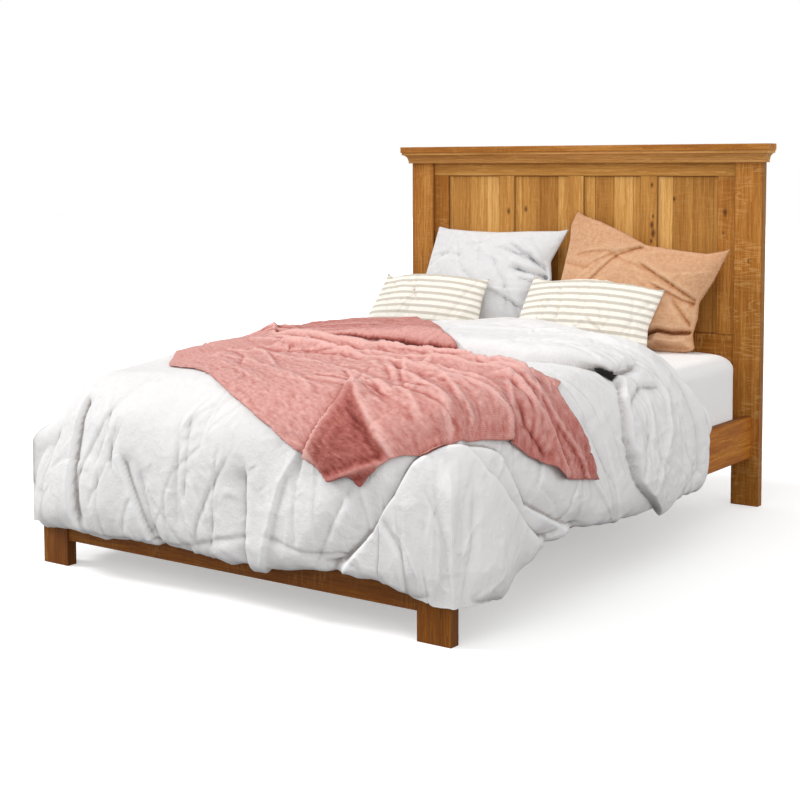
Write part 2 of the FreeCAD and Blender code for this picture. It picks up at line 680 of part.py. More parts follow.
def leant(shape, x, lean, roll):
    """The pillow rolled in its own plane and leant back, its lowest point on the sheet."""
    shape = shape.copy()
    centre = Vector(0, 0, 0)
    shape.rotate(centre, Vector(0, 1, 0), roll)
    shape.rotate(centre, Vector(1, 0, 0), -lean)
    shape.translate(Vector(x, 0, sheet_top + cloth_clearance - exact_box(shape).ZMin))
    return shape


def against_headboard(shape):
    """Moved back until it is a hair in front of the headboard's panels and rails."""
    shape.translate(Vector(0, frame_y - cloth_clearance - exact_box(shape).YMax, 0))
    return shape


def against(shape, others):
    """Moved back from the front until it nearly touches one of the others."""
    shape.translate(Vector(0, duvet_head_y - exact_box(shape).YMax, 0))
    for _ in range(12):
        room = min(shape.distToShape(other)[0] for other in others)
        if room < 2 * cloth_clearance:
            break
        shape.translate(Vector(0, room - cloth_clearance, 0))
    return shape


def pillows():
    """Two large pillows against the headboard, two lumbar pillows against them."""
    large = pillow(pillow_width, pillow_height, pillow_thickness, pillow_draw_in)
    small = pillow(lumbar_width, lumbar_height, lumbar_thickness, lumbar_draw_in)
    left, right = [against_headboard(leant(large, *place)) for place in pillow_places]
    parts["pillow_left"] = left
    parts["pillow_right"] = right
    parts["lumbar_pillow_left"] = against(leant(small, *lumbar_places[0]), [left])
    parts["lumbar_pillow_right"] = against(leant(small, *lumbar_places[1]), [left, right])


def main():
    """Models every piece, moves it to the middle of the bed and writes it."""
    headboard()
    crown()
    rail_fastenings()
    footboard()
    side_rails()
    slat_base()
    mattress_and_sheet()
    duvet()
    parts["throw_blanket"] = throw_blanket()
    pillows()
    os.makedirs("parts", exist_ok=True)
    for name, shape in parts.items():
        shape = shape.copy()
        shape.translate(Vector(0, -overall_middle_y, 0))
        shape.exportStep("parts/%s.step" % name)
        size = exact_box(shape)
        print("%-24s %2d solids valid %s  X %7.1f..%7.1f  Y %7.1f..%7.1f  Z %6.1f..%6.1f" % (
            name, len(shape.Solids), shape.isValid(), size.XMin, size.XMax,
            size.YMin, size.YMax, size.ZMin, size.ZMax))


main()
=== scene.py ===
# %% [markdown]
# # A panel bed in oak, made up with washed linen
#
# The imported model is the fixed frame: every oak board, slat and steel plate of it stays as it is and only gets a
# finish here. The soft things (mattress, sheet, duvet, throw, pillows) are made again in this file, because cloth
# needs folds and crinkles that a solid doesn't have. Everything is in metres, with the head of the bed towards +Y.

# %% frame and imports
import math
import bpy
import numpy as np
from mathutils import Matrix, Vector


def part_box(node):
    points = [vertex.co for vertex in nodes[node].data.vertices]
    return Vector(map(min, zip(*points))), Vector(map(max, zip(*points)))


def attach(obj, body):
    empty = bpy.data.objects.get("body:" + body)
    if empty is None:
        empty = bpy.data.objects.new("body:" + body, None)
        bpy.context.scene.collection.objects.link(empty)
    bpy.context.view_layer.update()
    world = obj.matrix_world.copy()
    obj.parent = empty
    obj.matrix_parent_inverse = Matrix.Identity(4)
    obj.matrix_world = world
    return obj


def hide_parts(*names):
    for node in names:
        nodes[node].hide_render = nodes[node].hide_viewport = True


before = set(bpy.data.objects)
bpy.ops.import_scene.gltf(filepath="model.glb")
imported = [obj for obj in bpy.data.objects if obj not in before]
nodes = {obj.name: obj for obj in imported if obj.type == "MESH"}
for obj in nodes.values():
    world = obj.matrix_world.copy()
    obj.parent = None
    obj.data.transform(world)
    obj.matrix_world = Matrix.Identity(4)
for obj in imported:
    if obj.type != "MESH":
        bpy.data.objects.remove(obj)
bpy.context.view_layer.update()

# %% [markdown]
# Colours are given in sRGB, as a screen shows them, and the shaders want linear values. One function turns
# the one into the other. One more adds a node with its settings and links, so that a material reads as a recipe.

# %% colours
MM = 0.001


def colour(hexa):
    """Linear RGBA of an sRGB hex colour."""
    parts = [int(hexa[n:n + 2], 16) / 255 for n in (1, 3, 5)]
    return [c / 12.92 if c < 0.04045 else ((c + 0.055) / 1.055) ** 2.4 for c in parts] + [1.0]


print("white is", colour("#ffffff")[:3])


# %% a node and its links
def node(material, kind, settings=None, **inputs):
    """Adds a node. Inputs are named with _ for a space, or in0, in1 for their number; a socket given is linked.
    settings are the node's own, and stops are the (place, hex colour) pairs of a colour ramp."""
    made = material.node_tree.nodes.new(kind)
    settings = dict(settings or {})
    stops = settings.pop("stops", ())
    for _ in stops[2:]:
        made.color_ramp.elements.new(0.5)
    for element, (place, hexa) in zip(made.color_ramp.elements if stops else (), stops):
        element.position = place
        element.color = colour(hexa)
    for name, value in settings.items():
        setattr(made, name, value)
    for name, value in inputs.items():
        numbered = name[:2] == "in" and name[2:].isdigit()
        socket = made.inputs[int(name[2:]) if numbered else name.replace("_", " ")]
        if isinstance(value, bpy.types.NodeSocket):
            material.node_tree.links.new(value, socket)
        else:
            socket.default_value = value
    return made


def new_material(name):
    """A node material with nothing but its output and Principled shader."""
    made = bpy.data.materials.new(name)
    made.use_nodes = True
    made.node_tree.nodes.clear()
    shader = node(made, "ShaderNodeBsdfPrincipled")
    node(made, "ShaderNodeOutputMaterial", Surface=shader.outputs["BSDF"])
    return made, shader


def wave_scale(spacing):
    """The scale of a wave texture whose bands lie that many metres apart: at scale 1 they repeat every 2 pi / 20."""
    return 2 * math.pi / (20 * spacing)


print("bands 17 mm apart need scale", round(wave_scale(17 * MM), 1))

# %% [markdown]
# ## Camera
#
# The photograph was taken from the foot right corner, a little above the height of the headboard, with a long lens.
# Place and lens come from fitting the corners of the legs, the posts and the cap. The picture is a crop of a larger
# frame, so the lens is shifted a little instead of tilting the bed's uprights.

# %% camera
PICTURE = 800                        # pixels across the square picture
photo_focal = 1505.0                 # focal length, in its pixels
centre_x, centre_y = 457.0, 288.0    # where the lens axis meets the picture
look_down, look_left = 4.44, 34.23   # degrees below level, and left of straight up the bed
camera_data = bpy.data.cameras.new("camera")
camera = bpy.data.objects.new("camera", camera_data)
bpy.context.scene.collection.objects.link(camera)
camera_data.sensor_width = 36.0
camera_data.lens = photo_focal / PICTURE * camera_data.sensor_width
camera_data.shift_x = -(centre_x - PICTURE / 2) / PICTURE
camera_data.shift_y = (centre_y - PICTURE / 2) / PICTURE
camera.location = (3.100, -4.3415, 1.300)
camera.rotation_euler = (math.radians(90 - look_down), 0, math.radians(look_left))
bpy.context.scene.camera = camera
print("lens", round(camera_data.lens, 1), "mm")

# %% [markdown]
# ## Light and floor
#
# A studio picture: a softbox high at the left is the key, wide weak ones from the front and the right fill the
# shade, and a white room all round is a little brighter above than below. Lamps stand in for the softboxes, so far
# away that the whole bed gets the same light; the width of each, as an angle, is how soft its shadows are.

# %% white room
ROOM_LOW, ROOM_HIGH = 0.50, 0.63      # brightness of the room below and above the bed
studio = bpy.data.worlds.new("soft_room")
bpy.context.scene.world = studio
studio.use_nodes = True
studio.node_tree.nodes.clear()
directions = node(studio, "ShaderNodeTexCoord")
height = node(studio, "ShaderNodeSeparateXYZ", in0=directions.outputs["Generated"])
above = node(studio, "ShaderNodeMapRange", Value=height.outputs["Z"], From_Min=-0.2, From_Max=0.9,
             To_Min=ROOM_LOW, To_Max=ROOM_HIGH)
walls = node(studio, "ShaderNodeBackground", Color=colour("#ffffff"), Strength=above.outputs["Result"])
backdrop = node(studio, "ShaderNodeBackground", Color=colour("#ffffff"), Strength=1.0)
path = node(studio, "ShaderNodeLightPath")
direct = node(studio, "ShaderNodeMath", {"operation": "MAXIMUM"}, in0=path.outputs["Is Camera Ray"],
              in1=path.outputs["Is Transmission Ray"])
seen = node(studio, "ShaderNodeMath", {"operation": "MAXIMUM"}, in0=direct.outputs[0],
            in1=path.outputs["Is Glossy Ray"])
mixed = node(studio, "ShaderNodeMixShader", in0=seen.outputs[0], in1=walls.outputs[0], in2=backdrop.outputs[0])
node(studio, "ShaderNodeOutputWorld", Surface=mixed.outputs[0])
bpy.context.scene.view_settings.view_transform = "Standard"
print("white room from", ROOM_LOW, "below to", ROOM_HIGH, "above")


# %% softboxes
def soft_sun(name, towards, strength, spread):
    """A very distant softbox: light that comes from the direction towards, spread over an angle in degrees."""
    data = bpy.data.lights.new(name, "SUN")
    data.energy = strength
    data.angle = math.radians(spread)
    lamp = bpy.data.objects.new(name, data)
    bpy.context.scene.collection.objects.link(lamp)
    lamp.rotation_euler = Vector(towards).to_track_quat("Z", "Y").to_euler()
    lamp.location = Vector(towards) * 6
    print(name, "strength", strength, "over", spread, "degrees")


soft_sun("key_softbox", (-0.72, -0.30, 0.62), 2.00, 14)
soft_sun("front_softbox", (0.10, -0.90, 0.40), 0.75, 60)
soft_sun("side_softbox", (0.95, -0.30, 0.14), 1.60, 55)

# %% [markdown]
# The ground is a sweep of white paper, burnt out in the picture but for the soft shadow under the bed. To the camera
# it is paper with some glow added, which whitens it and leaves the shadow. To the bed it is a duller grey, or it
# would throw more light up on the rails than the photograph shows. Light Path tells the two apart.

# %% white ground
FLOOR_REACH = 30
floor_mesh = bpy.data.meshes.new("floor")
floor_mesh.from_pydata([(x * FLOOR_REACH, y * FLOOR_REACH, 0) for x, y in ((-1, -1), (1, -1), (1, 1), (-1, 1))],
                       [], [(0, 1, 2, 3)])
floor = bpy.data.objects.new("floor", floor_mesh)
bpy.context.scene.collection.objects.link(floor)
# Matt paper: hardly any shine, so the shadow alone tells where the floor is.
paper, paper_shader = new_material("white_studio_ground")
paper_shader.inputs["Base Color"].default_value = colour("#ececec")
paper_shader.inputs["Roughness"].default_value = 0.9
paper_shader.inputs["Specular IOR Level"].default_value = 0.1
glow = node(paper, "ShaderNodeEmission", Color=colour("#ffffff"), Strength=0.40)
glowing = node(paper, "ShaderNodeAddShader", in0=paper_shader.outputs[0], in1=glow.outputs[0])
ground_path = node(paper, "ShaderNodeLightPath")
ground_seen = node(paper, "ShaderNodeMath", {"operation": "MAXIMUM"}, in0=ground_path.outputs["Is Camera Ray"],
                   in1=ground_path.outputs["Is Glossy Ray"])
dull = node(paper, "ShaderNodeBsdfDiffuse", Color=colour("#868686"))
ground = node(paper, "ShaderNodeMixShader", in0=ground_seen.outputs[0], in1=dull.outputs[0], in2=glowing.outputs[0])
paper.node_tree.links.new(ground.outputs[0], paper.node_tree.nodes["Material Output"].inputs["Surface"])
floor_mesh.materials.append(paper)
print("floor", tuple(floor.dimensions)[:2])

# %% [markdown]
# ## Oiled oak
#
# Rustic oak, planed, sanded and oiled: honey brown, with darker growth lines along the board, fine open pores, a few
# small knots, and on quarter-sawn boards pale ray flecks across the grain. A scanned picture of wood would be one
# way; here it is built from noise that is stretched along the board, because every board then gets its own figure
# from its own place, and the grain runs the way the board was cut. Real growth rings are 2 to 4 mm apart and pores
# 0.2 mm wide: both are drawn coarser, since one pixel of the picture is about 4 mm of wood.

# %% measures of the wood
RINGS_APART = 17 * MM        # groups of growth rings
PORE = 4.5 * MM              # bundles of pores
STREAK = 28 * MM             # darker and paler streaks
FLAKE = 42 * MM              # ray flecks
STAVE = 0.088                # width of the staves a panel is glued up from
# the grime colour also paints shade into the corners at the joints
RAY_COLOUR, KNOT_COLOUR, GLUE_COLOUR, GRIME_AND_SHADE_COLOUR = "#cfa062", "#4a2710", "#5c3512", "#4a280e"
print("wood drawn", round(RINGS_APART / (3 * MM)), "times coarser than its rings")


# %% place in a board
def board_place(material, across, depth, along):
    """The object's axes, and a vector that runs across a board, through it, and along its grain."""
    place = node(material, "ShaderNodeTexCoord").outputs["Object"]
    axes = node(material, "ShaderNodeSeparateXYZ", in0=place).outputs
    return axes, node(material, "ShaderNodeCombineXYZ", X=axes[across], Y=axes[depth], Z=axes[along]).outputs[0]


# %% [markdown]
# A wide panel is glued up from staves, each from another place of the log, with its own shade. Every stave gets a
# number, and the number moves its figure and its tone.


# %% glued staves
def glued_staves(material, across, board, seed):
    """For a panel of staves: how pale each is, the place in its own wood, and the thin dark glue line."""
    number = node(material, "ShaderNodeMath", {"operation": "SNAP"}, in0=across, in1=STAVE)
    cell = node(material, "ShaderNodeCombineXYZ", X=number.outputs[0], Y=seed, Z=0.0)
    stave = node(material, "ShaderNodeTexWhiteNoise", {"noise_dimensions": "3D"}, Vector=cell.outputs[0])
    beside = node(material, "ShaderNodeMath", {"operation": "PINGPONG"}, in0=across, in1=STAVE / 2)
    glue_line = node(material, "ShaderNodeMapRange", Value=beside.outputs[0], From_Min=0.8 * MM, From_Max=2.2 * MM,
                     To_Min=0.40, To_Max=0.0).outputs[0]
    offset = node(material, "ShaderNodeVectorMath", {"operation": "SCALE"}, in0=stave.outputs["Color"], Scale=3.0)
    shifted = node(material, "ShaderNodeVectorMath", {"operation": "ADD"}, in0=board, in1=offset.outputs[0])
    return stave.outputs["Value"], shifted.outputs[0], glue_line


# %% [markdown]
# Ray flecks are sheets of ray cells cut lengthwise by the saw. They lie across the grain, in patches, and turn the
# light back. A noise that is short along the board and long across it, folded on itself, has such winding edges.


# %% ray flecks
def ray_flecks(material, wood, amount):
    """How much of the pale fleck colour shows."""
    wide = node(material, "ShaderNodeVectorMath", {"operation": "MULTIPLY"}, in0=wood, in1=(0.28, 0.28, 2.0))
    rays = node(material, "ShaderNodeTexNoise", Vector=wide.outputs[0], Scale=1 / FLAKE, Detail=1.0, Roughness=0.45,
                Distortion=0.12)
    folded = node(material, "ShaderNodeMath", {"operation": "PINGPONG"}, in0=rays.outputs["Fac"], in1=0.10)
    patches = node(material, "ShaderNodeTexNoise", Vector=wood, Scale=9.0, Detail=1.0)
    ray_edge = node(material, "ShaderNodeMapRange", Value=folded.outputs[0], From_Min=0.060, From_Max=0.090)
    patch_edge = node(material, "ShaderNodeMapRange", Value=patches.outputs["Fac"], From_Min=0.40, From_Max=0.56)
    fleck = node(material, "ShaderNodeMath", {"operation": "MULTIPLY"}, in0=ray_edge.outputs[0],
                 in1=patch_edge.outputs[0])
    return node(material, "ShaderNodeMath", {"operation": "MULTIPLY"}, in0=fleck.outputs[0], in1=amount).outputs[0]


# %% knots
KNOT_SLIM = 0.55       # width of a knot as a share of its length along the grain


def knot(material, board, waviness, pores, x, y, radius):
    """How dark a small knot at (x, y) of the board's face is: ragged, because waves and pores eat at its edge."""
    flat = node(material, "ShaderNodeVectorMath", {"operation": "MULTIPLY"}, in0=board, in1=(1.0, 0.0, KNOT_SLIM))
    ragged = node(material, "ShaderNodeVectorMath", {"operation": "DISTANCE"}, in0=flat.outputs[0],
                  in1=(x, 0.0, y * KNOT_SLIM)).outputs["Value"]
    for figure in (waviness, pores):
        ragged = node(material, "ShaderNodeMath", {"operation": "MULTIPLY_ADD"}, in0=figure.outputs["Fac"],
                      in1=radius, in2=ragged).outputs[0]
    return node(material, "ShaderNodeMapRange", {"interpolation_type": "SMOOTHSTEP"}, Value=ragged,
                From_Min=radius * 1.2, From_Max=radius * 2.6, To_Min=0.85, To_Max=0.0).outputs[0]


# %% dark lines at the joints: grime and painted shade
def joint_grime_and_shade(material, axes, face_axes, joints):
    """How dark the last millimetres of a board are, where oil and dust gather and painted shade marks the corner.
    joints are its low and high corner.
    """
    nearest = None
    for axis in face_axes:
        number = "XYZ".index(axis)
        for ends in ((axes[axis], joints[0][number]), (joints[1][number], axes[axis])):
            inside = node(material, "ShaderNodeMath", {"operation": "SUBTRACT"}, in0=ends[0], in1=ends[1]).outputs[0]
            nearest = inside if nearest is None else node(material, "ShaderNodeMath", {"operation": "MINIMUM"},
                                                          in0=nearest, in1=inside).outputs[0]
    return node(material, "ShaderNodeMapRange", Value=nearest, From_Min=0.8 * MM, From_Max=4.0 * MM,
                To_Min=0.50, To_Max=0.0).outputs[0]


# %% [markdown]
# The board itself: rings, pores, streaks and slow waves are added up to one number, and a ramp turns it into dark,
# middle and light wood. Flecks, knots, glue, and grime with painted shade at the joints are mixed over that. Oil
# fills the pores unevenly, so the pores also set the dull sheen, and a fine relief catches the light along the grain.


# %% oiled oak
def oak(name, along, tone, seed, flecks, boards=False, knots=(), joints=None):
    """Oak whose grain runs along an axis. tone is (dark, middle, light); boards says that it is glued from staves;
    knots are (across, along, radius) in metres; joints the low and high corner of a face with dark edges."""
    material, shader = new_material(name)
    across, depth = {"X": ("Z", "Y"), "Y": ("Z", "X"), "Z": ("X", "Y")}[along]
    axes, board = board_place(material, across, depth, along)
    wood = board
    if boards:
        stave_tone, wood, glue_line = glued_staves(material, axes[across], board, seed)
    wood = node(material, "ShaderNodeVectorMath", {"operation": "ADD"}, in0=wood,
                in1=(seed, seed * 0.37, seed * 1.71)).outputs[0]
    # a small third number draws a noise out along the grain
    grain, fibres = (node(material, "ShaderNodeVectorMath", {"operation": "MULTIPLY"}, in0=wood,
                          in1=(1.0, 1.0, drawn_out)).outputs[0] for drawn_out in (0.07, 0.045))
    waviness = node(material, "ShaderNodeTexNoise", Vector=grain, Scale=7.0, Detail=3.0, Roughness=0.5)
    rings = node(material, "ShaderNodeTexWave",
                 {"wave_type": "BANDS", "bands_direction": "X", "wave_profile": "SAW"}, Vector=grain,
                 Scale=wave_scale(RINGS_APART), Distortion=9.0, Detail=3.0, Detail_Scale=6.0, Detail_Roughness=0.6)
    pores = node(material, "ShaderNodeTexNoise", Vector=fibres, Scale=1 / PORE, Detail=4.0, Roughness=0.7)
    streaks = node(material, "ShaderNodeTexNoise", Vector=grain, Scale=1 / STREAK, Detail=2.0, Roughness=0.6)
    lightness = 0.10
    for figure, share in ((rings, 0.16), (pores, 0.30), (streaks, 0.40), (waviness, 0.46)):
        lightness = node(material, "ShaderNodeMath", {"operation": "MULTIPLY_ADD"}, in0=figure.outputs["Fac"],
                         in1=share, in2=lightness).outputs[0]
    if boards:
        lightness = node(material, "ShaderNodeMath", {"operation": "MULTIPLY_ADD"}, in0=stave_tone, in1=0.34,
                         in2=lightness).outputs[0]
        lightness = node(material, "ShaderNodeMath", {"operation": "SUBTRACT"}, in0=lightness, in1=0.17).outputs[0]
    dark, middle, light = tone
    surface = node(material, "ShaderNodeValToRGB", {"stops": ((0.50, dark), (0.78, middle), (1.0, light))},
                   in0=lightness).outputs["Color"]
    stains_and_shade = [(ray_flecks(material, wood, flecks), RAY_COLOUR)]
    stains_and_shade += [(knot(material, board, waviness, pores, *place), KNOT_COLOUR) for place in knots]
    if boards:
        stains_and_shade.append((glue_line, GLUE_COLOUR))
    # grime at the joints, and painted shade in their corners
    if joints:
        stains_and_shade.append((joint_grime_and_shade(material, axes, (across, along), joints), GRIME_AND_SHADE_COLOUR))
    for amount, stain in stains_and_shade:
        surface = node(material, "ShaderNodeMix", {"data_type": "RGBA"}, Factor=amount, in6=surface,
                       in7=colour(stain)).outputs[2]
    shine = node(material, "ShaderNodeMapRange", Value=pores.outputs["Fac"], To_Min=0.72, To_Max=0.52)
    relief = node(material, "ShaderNodeBump", Strength=0.35, Distance=0.6 * MM, Height=pores.outputs["Fac"])
    for made, socket in ((surface, "Base Color"), (shine.outputs[0], "Roughness"), (relief.outputs[0], "Normal")):
        material.node_tree.links.new(made, shader.inputs[socket])
    shader.inputs["IOR"].default_value = 1.5
    shader.inputs["Specular IOR Level"].default_value = 0.16
    return material


# %% [markdown]
# Every board of the bed is now cut from that oak. The frame is darker heart wood, the panels and muntins are paler,
# the rails warmer, the legs browner, and the crown moulding is given a tone nearly as pale as the panels, which paints
# light on its downward-facing cove. The knots are those that can be picked out on the face of the headboard.

# %% tones and knots
# Each tone is the dark, the middle and the light wood of one mix of boards.
FRAME_TONE = ("#764414", "#a46725", "#c78d47")
PANEL_TONE = ("#945f25", "#bc8540", "#dfad66")
RAIL_TONE = ("#6e3c0e", "#955515", "#b87728")
LEG_TONE = ("#4a2606", "#73400f", "#97631d")
# painted light: a tone nearly as pale as the panels, to make up for the shade on the crown's downward-facing cove
CROWN_TONE_PAINTED_LIGHT = ("#926029", "#be8747", "#dfac6c")
knots_of = {
    "headboard_post_right": ((0.772, 0.955, 0.005),),
    "headboard_stile_right": ((0.667, 1.14, 0.009), (0.660, 1.06, 0.004)),
    "headboard_muntin_1": ((-0.327, 1.13, 0.008),),
    "headboard_muntin_3": ((0.350, 1.245, 0.005), (0.356, 1.120, 0.004), (0.351, 1.085, 0.008),
                           (0.357, 1.052, 0.009), (0.349, 1.020, 0.005)),
    "headboard_panel_2": ((-0.245, 1.14, 0.007),),
    "headboard_panel_4": ((0.445, 1.19, 0.005),),
}
print("knots:", sum(map(len, knots_of.values())))


# %% a finish on a piece of the model
def finish_nodes(names, material):
    """Gives every named CAD node the material."""
    for name in names:
        mesh = nodes[name].data
        mesh.materials.clear()
        mesh.materials.append(material)
        for polygon in mesh.polygons:
            polygon.material_index = 0


def oak_on(piece, name, along, tone, seed, flecks, boards=False, joint_lines=True, tongue=0.0):
    """Oiled oak on one board; tongue is how far its edges reach into grooves, where no joint line shows."""
    low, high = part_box(piece)
    joints = ([v + tongue for v in low], [v - tongue for v in high]) if joint_lines else None
    finish_nodes([piece], oak(f"oiled_oak_{name}", along, tone, seed, flecks, boards, knots_of.get(piece, ()), joints))


# %% oak on the bed
for side, seed, post_flecks in (("left", 3.1, 0.2), ("right", 11.9, 0.45)):
    oak_on(f"headboard_post_{side}", f"post_{side}", "Z", FRAME_TONE, seed, post_flecks)
    oak_on(f"headboard_stile_{side}", f"stile_{side}", "Z", FRAME_TONE, seed + 2.3, 0.25)
    oak_on(f"foot_leg_{side}", f"leg_{side}", "Z", LEG_TONE, seed + 4.9, 0.0)
    oak_on(f"side_rail_{side}", f"side_rail_{side}", "Y", RAIL_TONE, seed + 6.2, 0.0)
    oak_on(f"crown_moulding_{side}", f"return_{side}", "Y", CROWN_TONE_PAINTED_LIGHT, seed + 7.7, 0.0, joint_lines=False)
for number, seed in enumerate((20.3, 23.9, 27.1), 1):
    oak_on(f"headboard_muntin_{number}", f"muntin_{number}", "Z", PANEL_TONE, seed, 0.15)
for number, seed in enumerate((31.7, 35.2, 38.8, 41.5), 1):
    oak_on(f"headboard_panel_{number}", f"panel_{number}", "Z", PANEL_TONE, seed, 0.12, boards=True, tongue=0.009)
oak_on("headboard_top_rail", "top_rail", "X", PANEL_TONE, 45.0, 0.1)
oak_on("headboard_bottom_rail", "bottom_rail", "X", FRAME_TONE, 48.4, 0.5)
oak_on("crown_moulding_front", "moulding", "X", CROWN_TONE_PAINTED_LIGHT, 51.3, 0.0, joint_lines=False)
oak_on("crown_cap", "cap", "X", FRAME_TONE, 55.8, 0.1, joint_lines=False)
oak_on("footboard_rail", "footboard", "X", LEG_TONE, 58.1, 0.1, joint_lines=False)
print("oak on", sum("oak" in m.name for m in bpy.data.materials), "boards")

# %% [markdown]
# ## Inside the bed
#
# The slats, ledgers, beam and its legs are planed pine left raw: pale, with a soft orange latewood line. The hooks,
# slotted plates and hanger bolts are steel with a thin zinc coat. Felt pads are pressed wool. None of it is seen
# from the picture's side, so each is a short recipe.

# %% raw pine
PINE_RINGS_APART = 9 * MM        # twice as wide as in fast-grown pine, to show at all
PINE_FIBRE = 3 * MM              # bundles of fibres


def pine(name, along, seed):
    """Planed pine with its grain along an axis: raw, so it is dull, with wide soft rings and a fine fibre."""
    material, shader = new_material(name)
    across, depth = (axis for axis in "XYZ" if axis != along)
    _, board = board_place(material, across, depth, along)
    grain = node(material, "ShaderNodeVectorMath", {"operation": "MULTIPLY_ADD"}, in0=board, in1=(1.0, 1.0, 0.06),
                 in2=(seed, seed, seed)).outputs[0]
    rings = node(material, "ShaderNodeTexWave", {"bands_direction": "X"}, Vector=grain,
                 Scale=wave_scale(PINE_RINGS_APART), Distortion=5.0, Detail=2.0, Detail_Scale=4.0)
    fibre = node(material, "ShaderNodeTexNoise", Vector=grain, Scale=1 / PINE_FIBRE, Detail=3.0)
    ringed = node(material, "ShaderNodeMath", {"operation": "MULTIPLY"}, in0=rings.outputs["Fac"], in1=0.6)
    lightness = node(material, "ShaderNodeMath", {"operation": "MULTIPLY_ADD"}, in0=fibre.outputs["Fac"], in1=0.4,
                     in2=ringed.outputs[0])
    surface = node(material, "ShaderNodeValToRGB", {"stops": ((0.2, "#d9b27c"), (0.55, "#e4c795"), (0.9, "#ecd6ab"))},
                   in0=lightness.outputs[0])
    relief = node(material, "ShaderNodeBump", Strength=0.3, Distance=0.4 * MM, Height=fibre.outputs["Fac"])
    material.node_tree.links.new(surface.outputs[0], shader.inputs["Base Color"])
    material.node_tree.links.new(relief.outputs[0], shader.inputs["Normal"])
    shader.inputs["Roughness"].default_value = 0.72
    return material


def with_prefix(*prefixes):
    """Names of the CAD nodes that start with one of the words."""
    return [name for name in nodes if name.startswith(prefixes)]


for number, name in enumerate(sorted(with_prefix("slat_"))):
    if "ledger" not in name:
        finish_nodes([name], pine(f"raw_pine_{name}", "X", 2.7 + 1.9 * number))
finish_nodes(with_prefix("slat_ledger", "ledger", "centre_beam"), pine("raw_pine_rails", "Y", 71.0))
finish_nodes(with_prefix("crown_nailer"), pine("raw_pine_nailer", "X", 77.0))
finish_nodes(with_prefix("support_leg_"), pine("raw_pine_legs", "Z", 83.0))
print("pine on", sum("pine" in m.name for m in bpy.data.materials), "lots of boards")

# %% zinc-plated steel
# Electroplated zinc: a thin bluish-grey metal coat with cloudy patches, shinier in some and duller in others.
zinc, zinc_shader = new_material("zinc_plated_steel")
zinc_place = node(zinc, "ShaderNodeTexCoord").outputs["Object"]
clouds = node(zinc, "ShaderNodeTexNoise", Vector=zinc_place, Scale=1 / (6 * MM), Detail=3.0).outputs["Fac"]
zinc_grey = node(zinc, "ShaderNodeValToRGB", {"stops": ((0.3, "#9a9da0"), (0.7, "#c2c4c4"))}, in0=clouds)
zinc_sheen = node(zinc, "ShaderNodeMapRange", Value=clouds, To_Min=0.3, To_Max=0.5)
zinc.node_tree.links.new(zinc_grey.outputs[0], zinc_shader.inputs["Base Color"])
zinc.node_tree.links.new(zinc_sheen.outputs[0], zinc_shader.inputs["Roughness"])
zinc_shader.inputs["Metallic"].default_value = 1.0
finish_nodes(with_prefix("rail_hook", "rail_slot", "leg_hanger"), zinc)
print("zinc on", with_prefix("rail_hook", "rail_slot", "leg_hanger"))

# %% pressed wool felt
# Wool fibres matted without a weave: a mottled grey with no shine at all and a rough, fibrous face.
felt, felt_shader = new_material("pressed_wool_felt")
felt_place = node(felt, "ShaderNodeTexCoord").outputs["Object"]
fibres = node(felt, "ShaderNodeTexNoise", Vector=felt_place, Scale=1 / (2 * MM), Detail=6.0,
              Roughness=0.8).outputs["Fac"]
felt_grey = node(felt, "ShaderNodeValToRGB", {"stops": ((0.3, "#4d4b49"), (0.7, "#7a7773"))}, in0=fibres)
felt_relief = node(felt, "ShaderNodeBump", Strength=0.6, Distance=0.8 * MM, Height=fibres)
felt.node_tree.links.new(felt_grey.outputs[0], felt_shader.inputs["Base Color"])
felt.node_tree.links.new(felt_relief.outputs[0], felt_shader.inputs["Normal"])
felt_shader.inputs["Roughness"].default_value = 0.95
finish_nodes(with_prefix("leg_felt"), felt)
print("nodes without a finish of this file:",
      [n for n, o in nodes.items() if not o.data.materials or o.data.materials[0].name.startswith("Material")])

# %% [markdown]
# ## Woven cloth
#
# All the bedding is plain-woven linen or cotton, washed soft: matt, with a faint sheen at grazing angles, thick and
# thin yarns that catch the light, and a fine crinkle left by washing. Each cloth piece carries its own flat
# coordinates in metres ("cloth"), so yarns run along the cloth and not through space. Real yarns are 0.5 to 1 mm;
# they are drawn about four times coarser, or they would not show at this distance.
#
# Light hardly reaches the bottom of a crease, and dyed cloth between two folds lights itself with its own colour.
# Each piece therefore also carries "hollow", how deep a point lies in a crease, which paints shade into the colour,
# darker in creases and paler on crests; deep is the painted shade in a crease, pit where folds close over it.

# %% linen
YARN = 2.4 * MM        # drawn coarse, as said above
SLUB = 7 * MM          # thick places in the yarns
RUMPLE = 17 * MM       # the crinkle that washing leaves
CREASE = 60 * MM       # soft creases from use


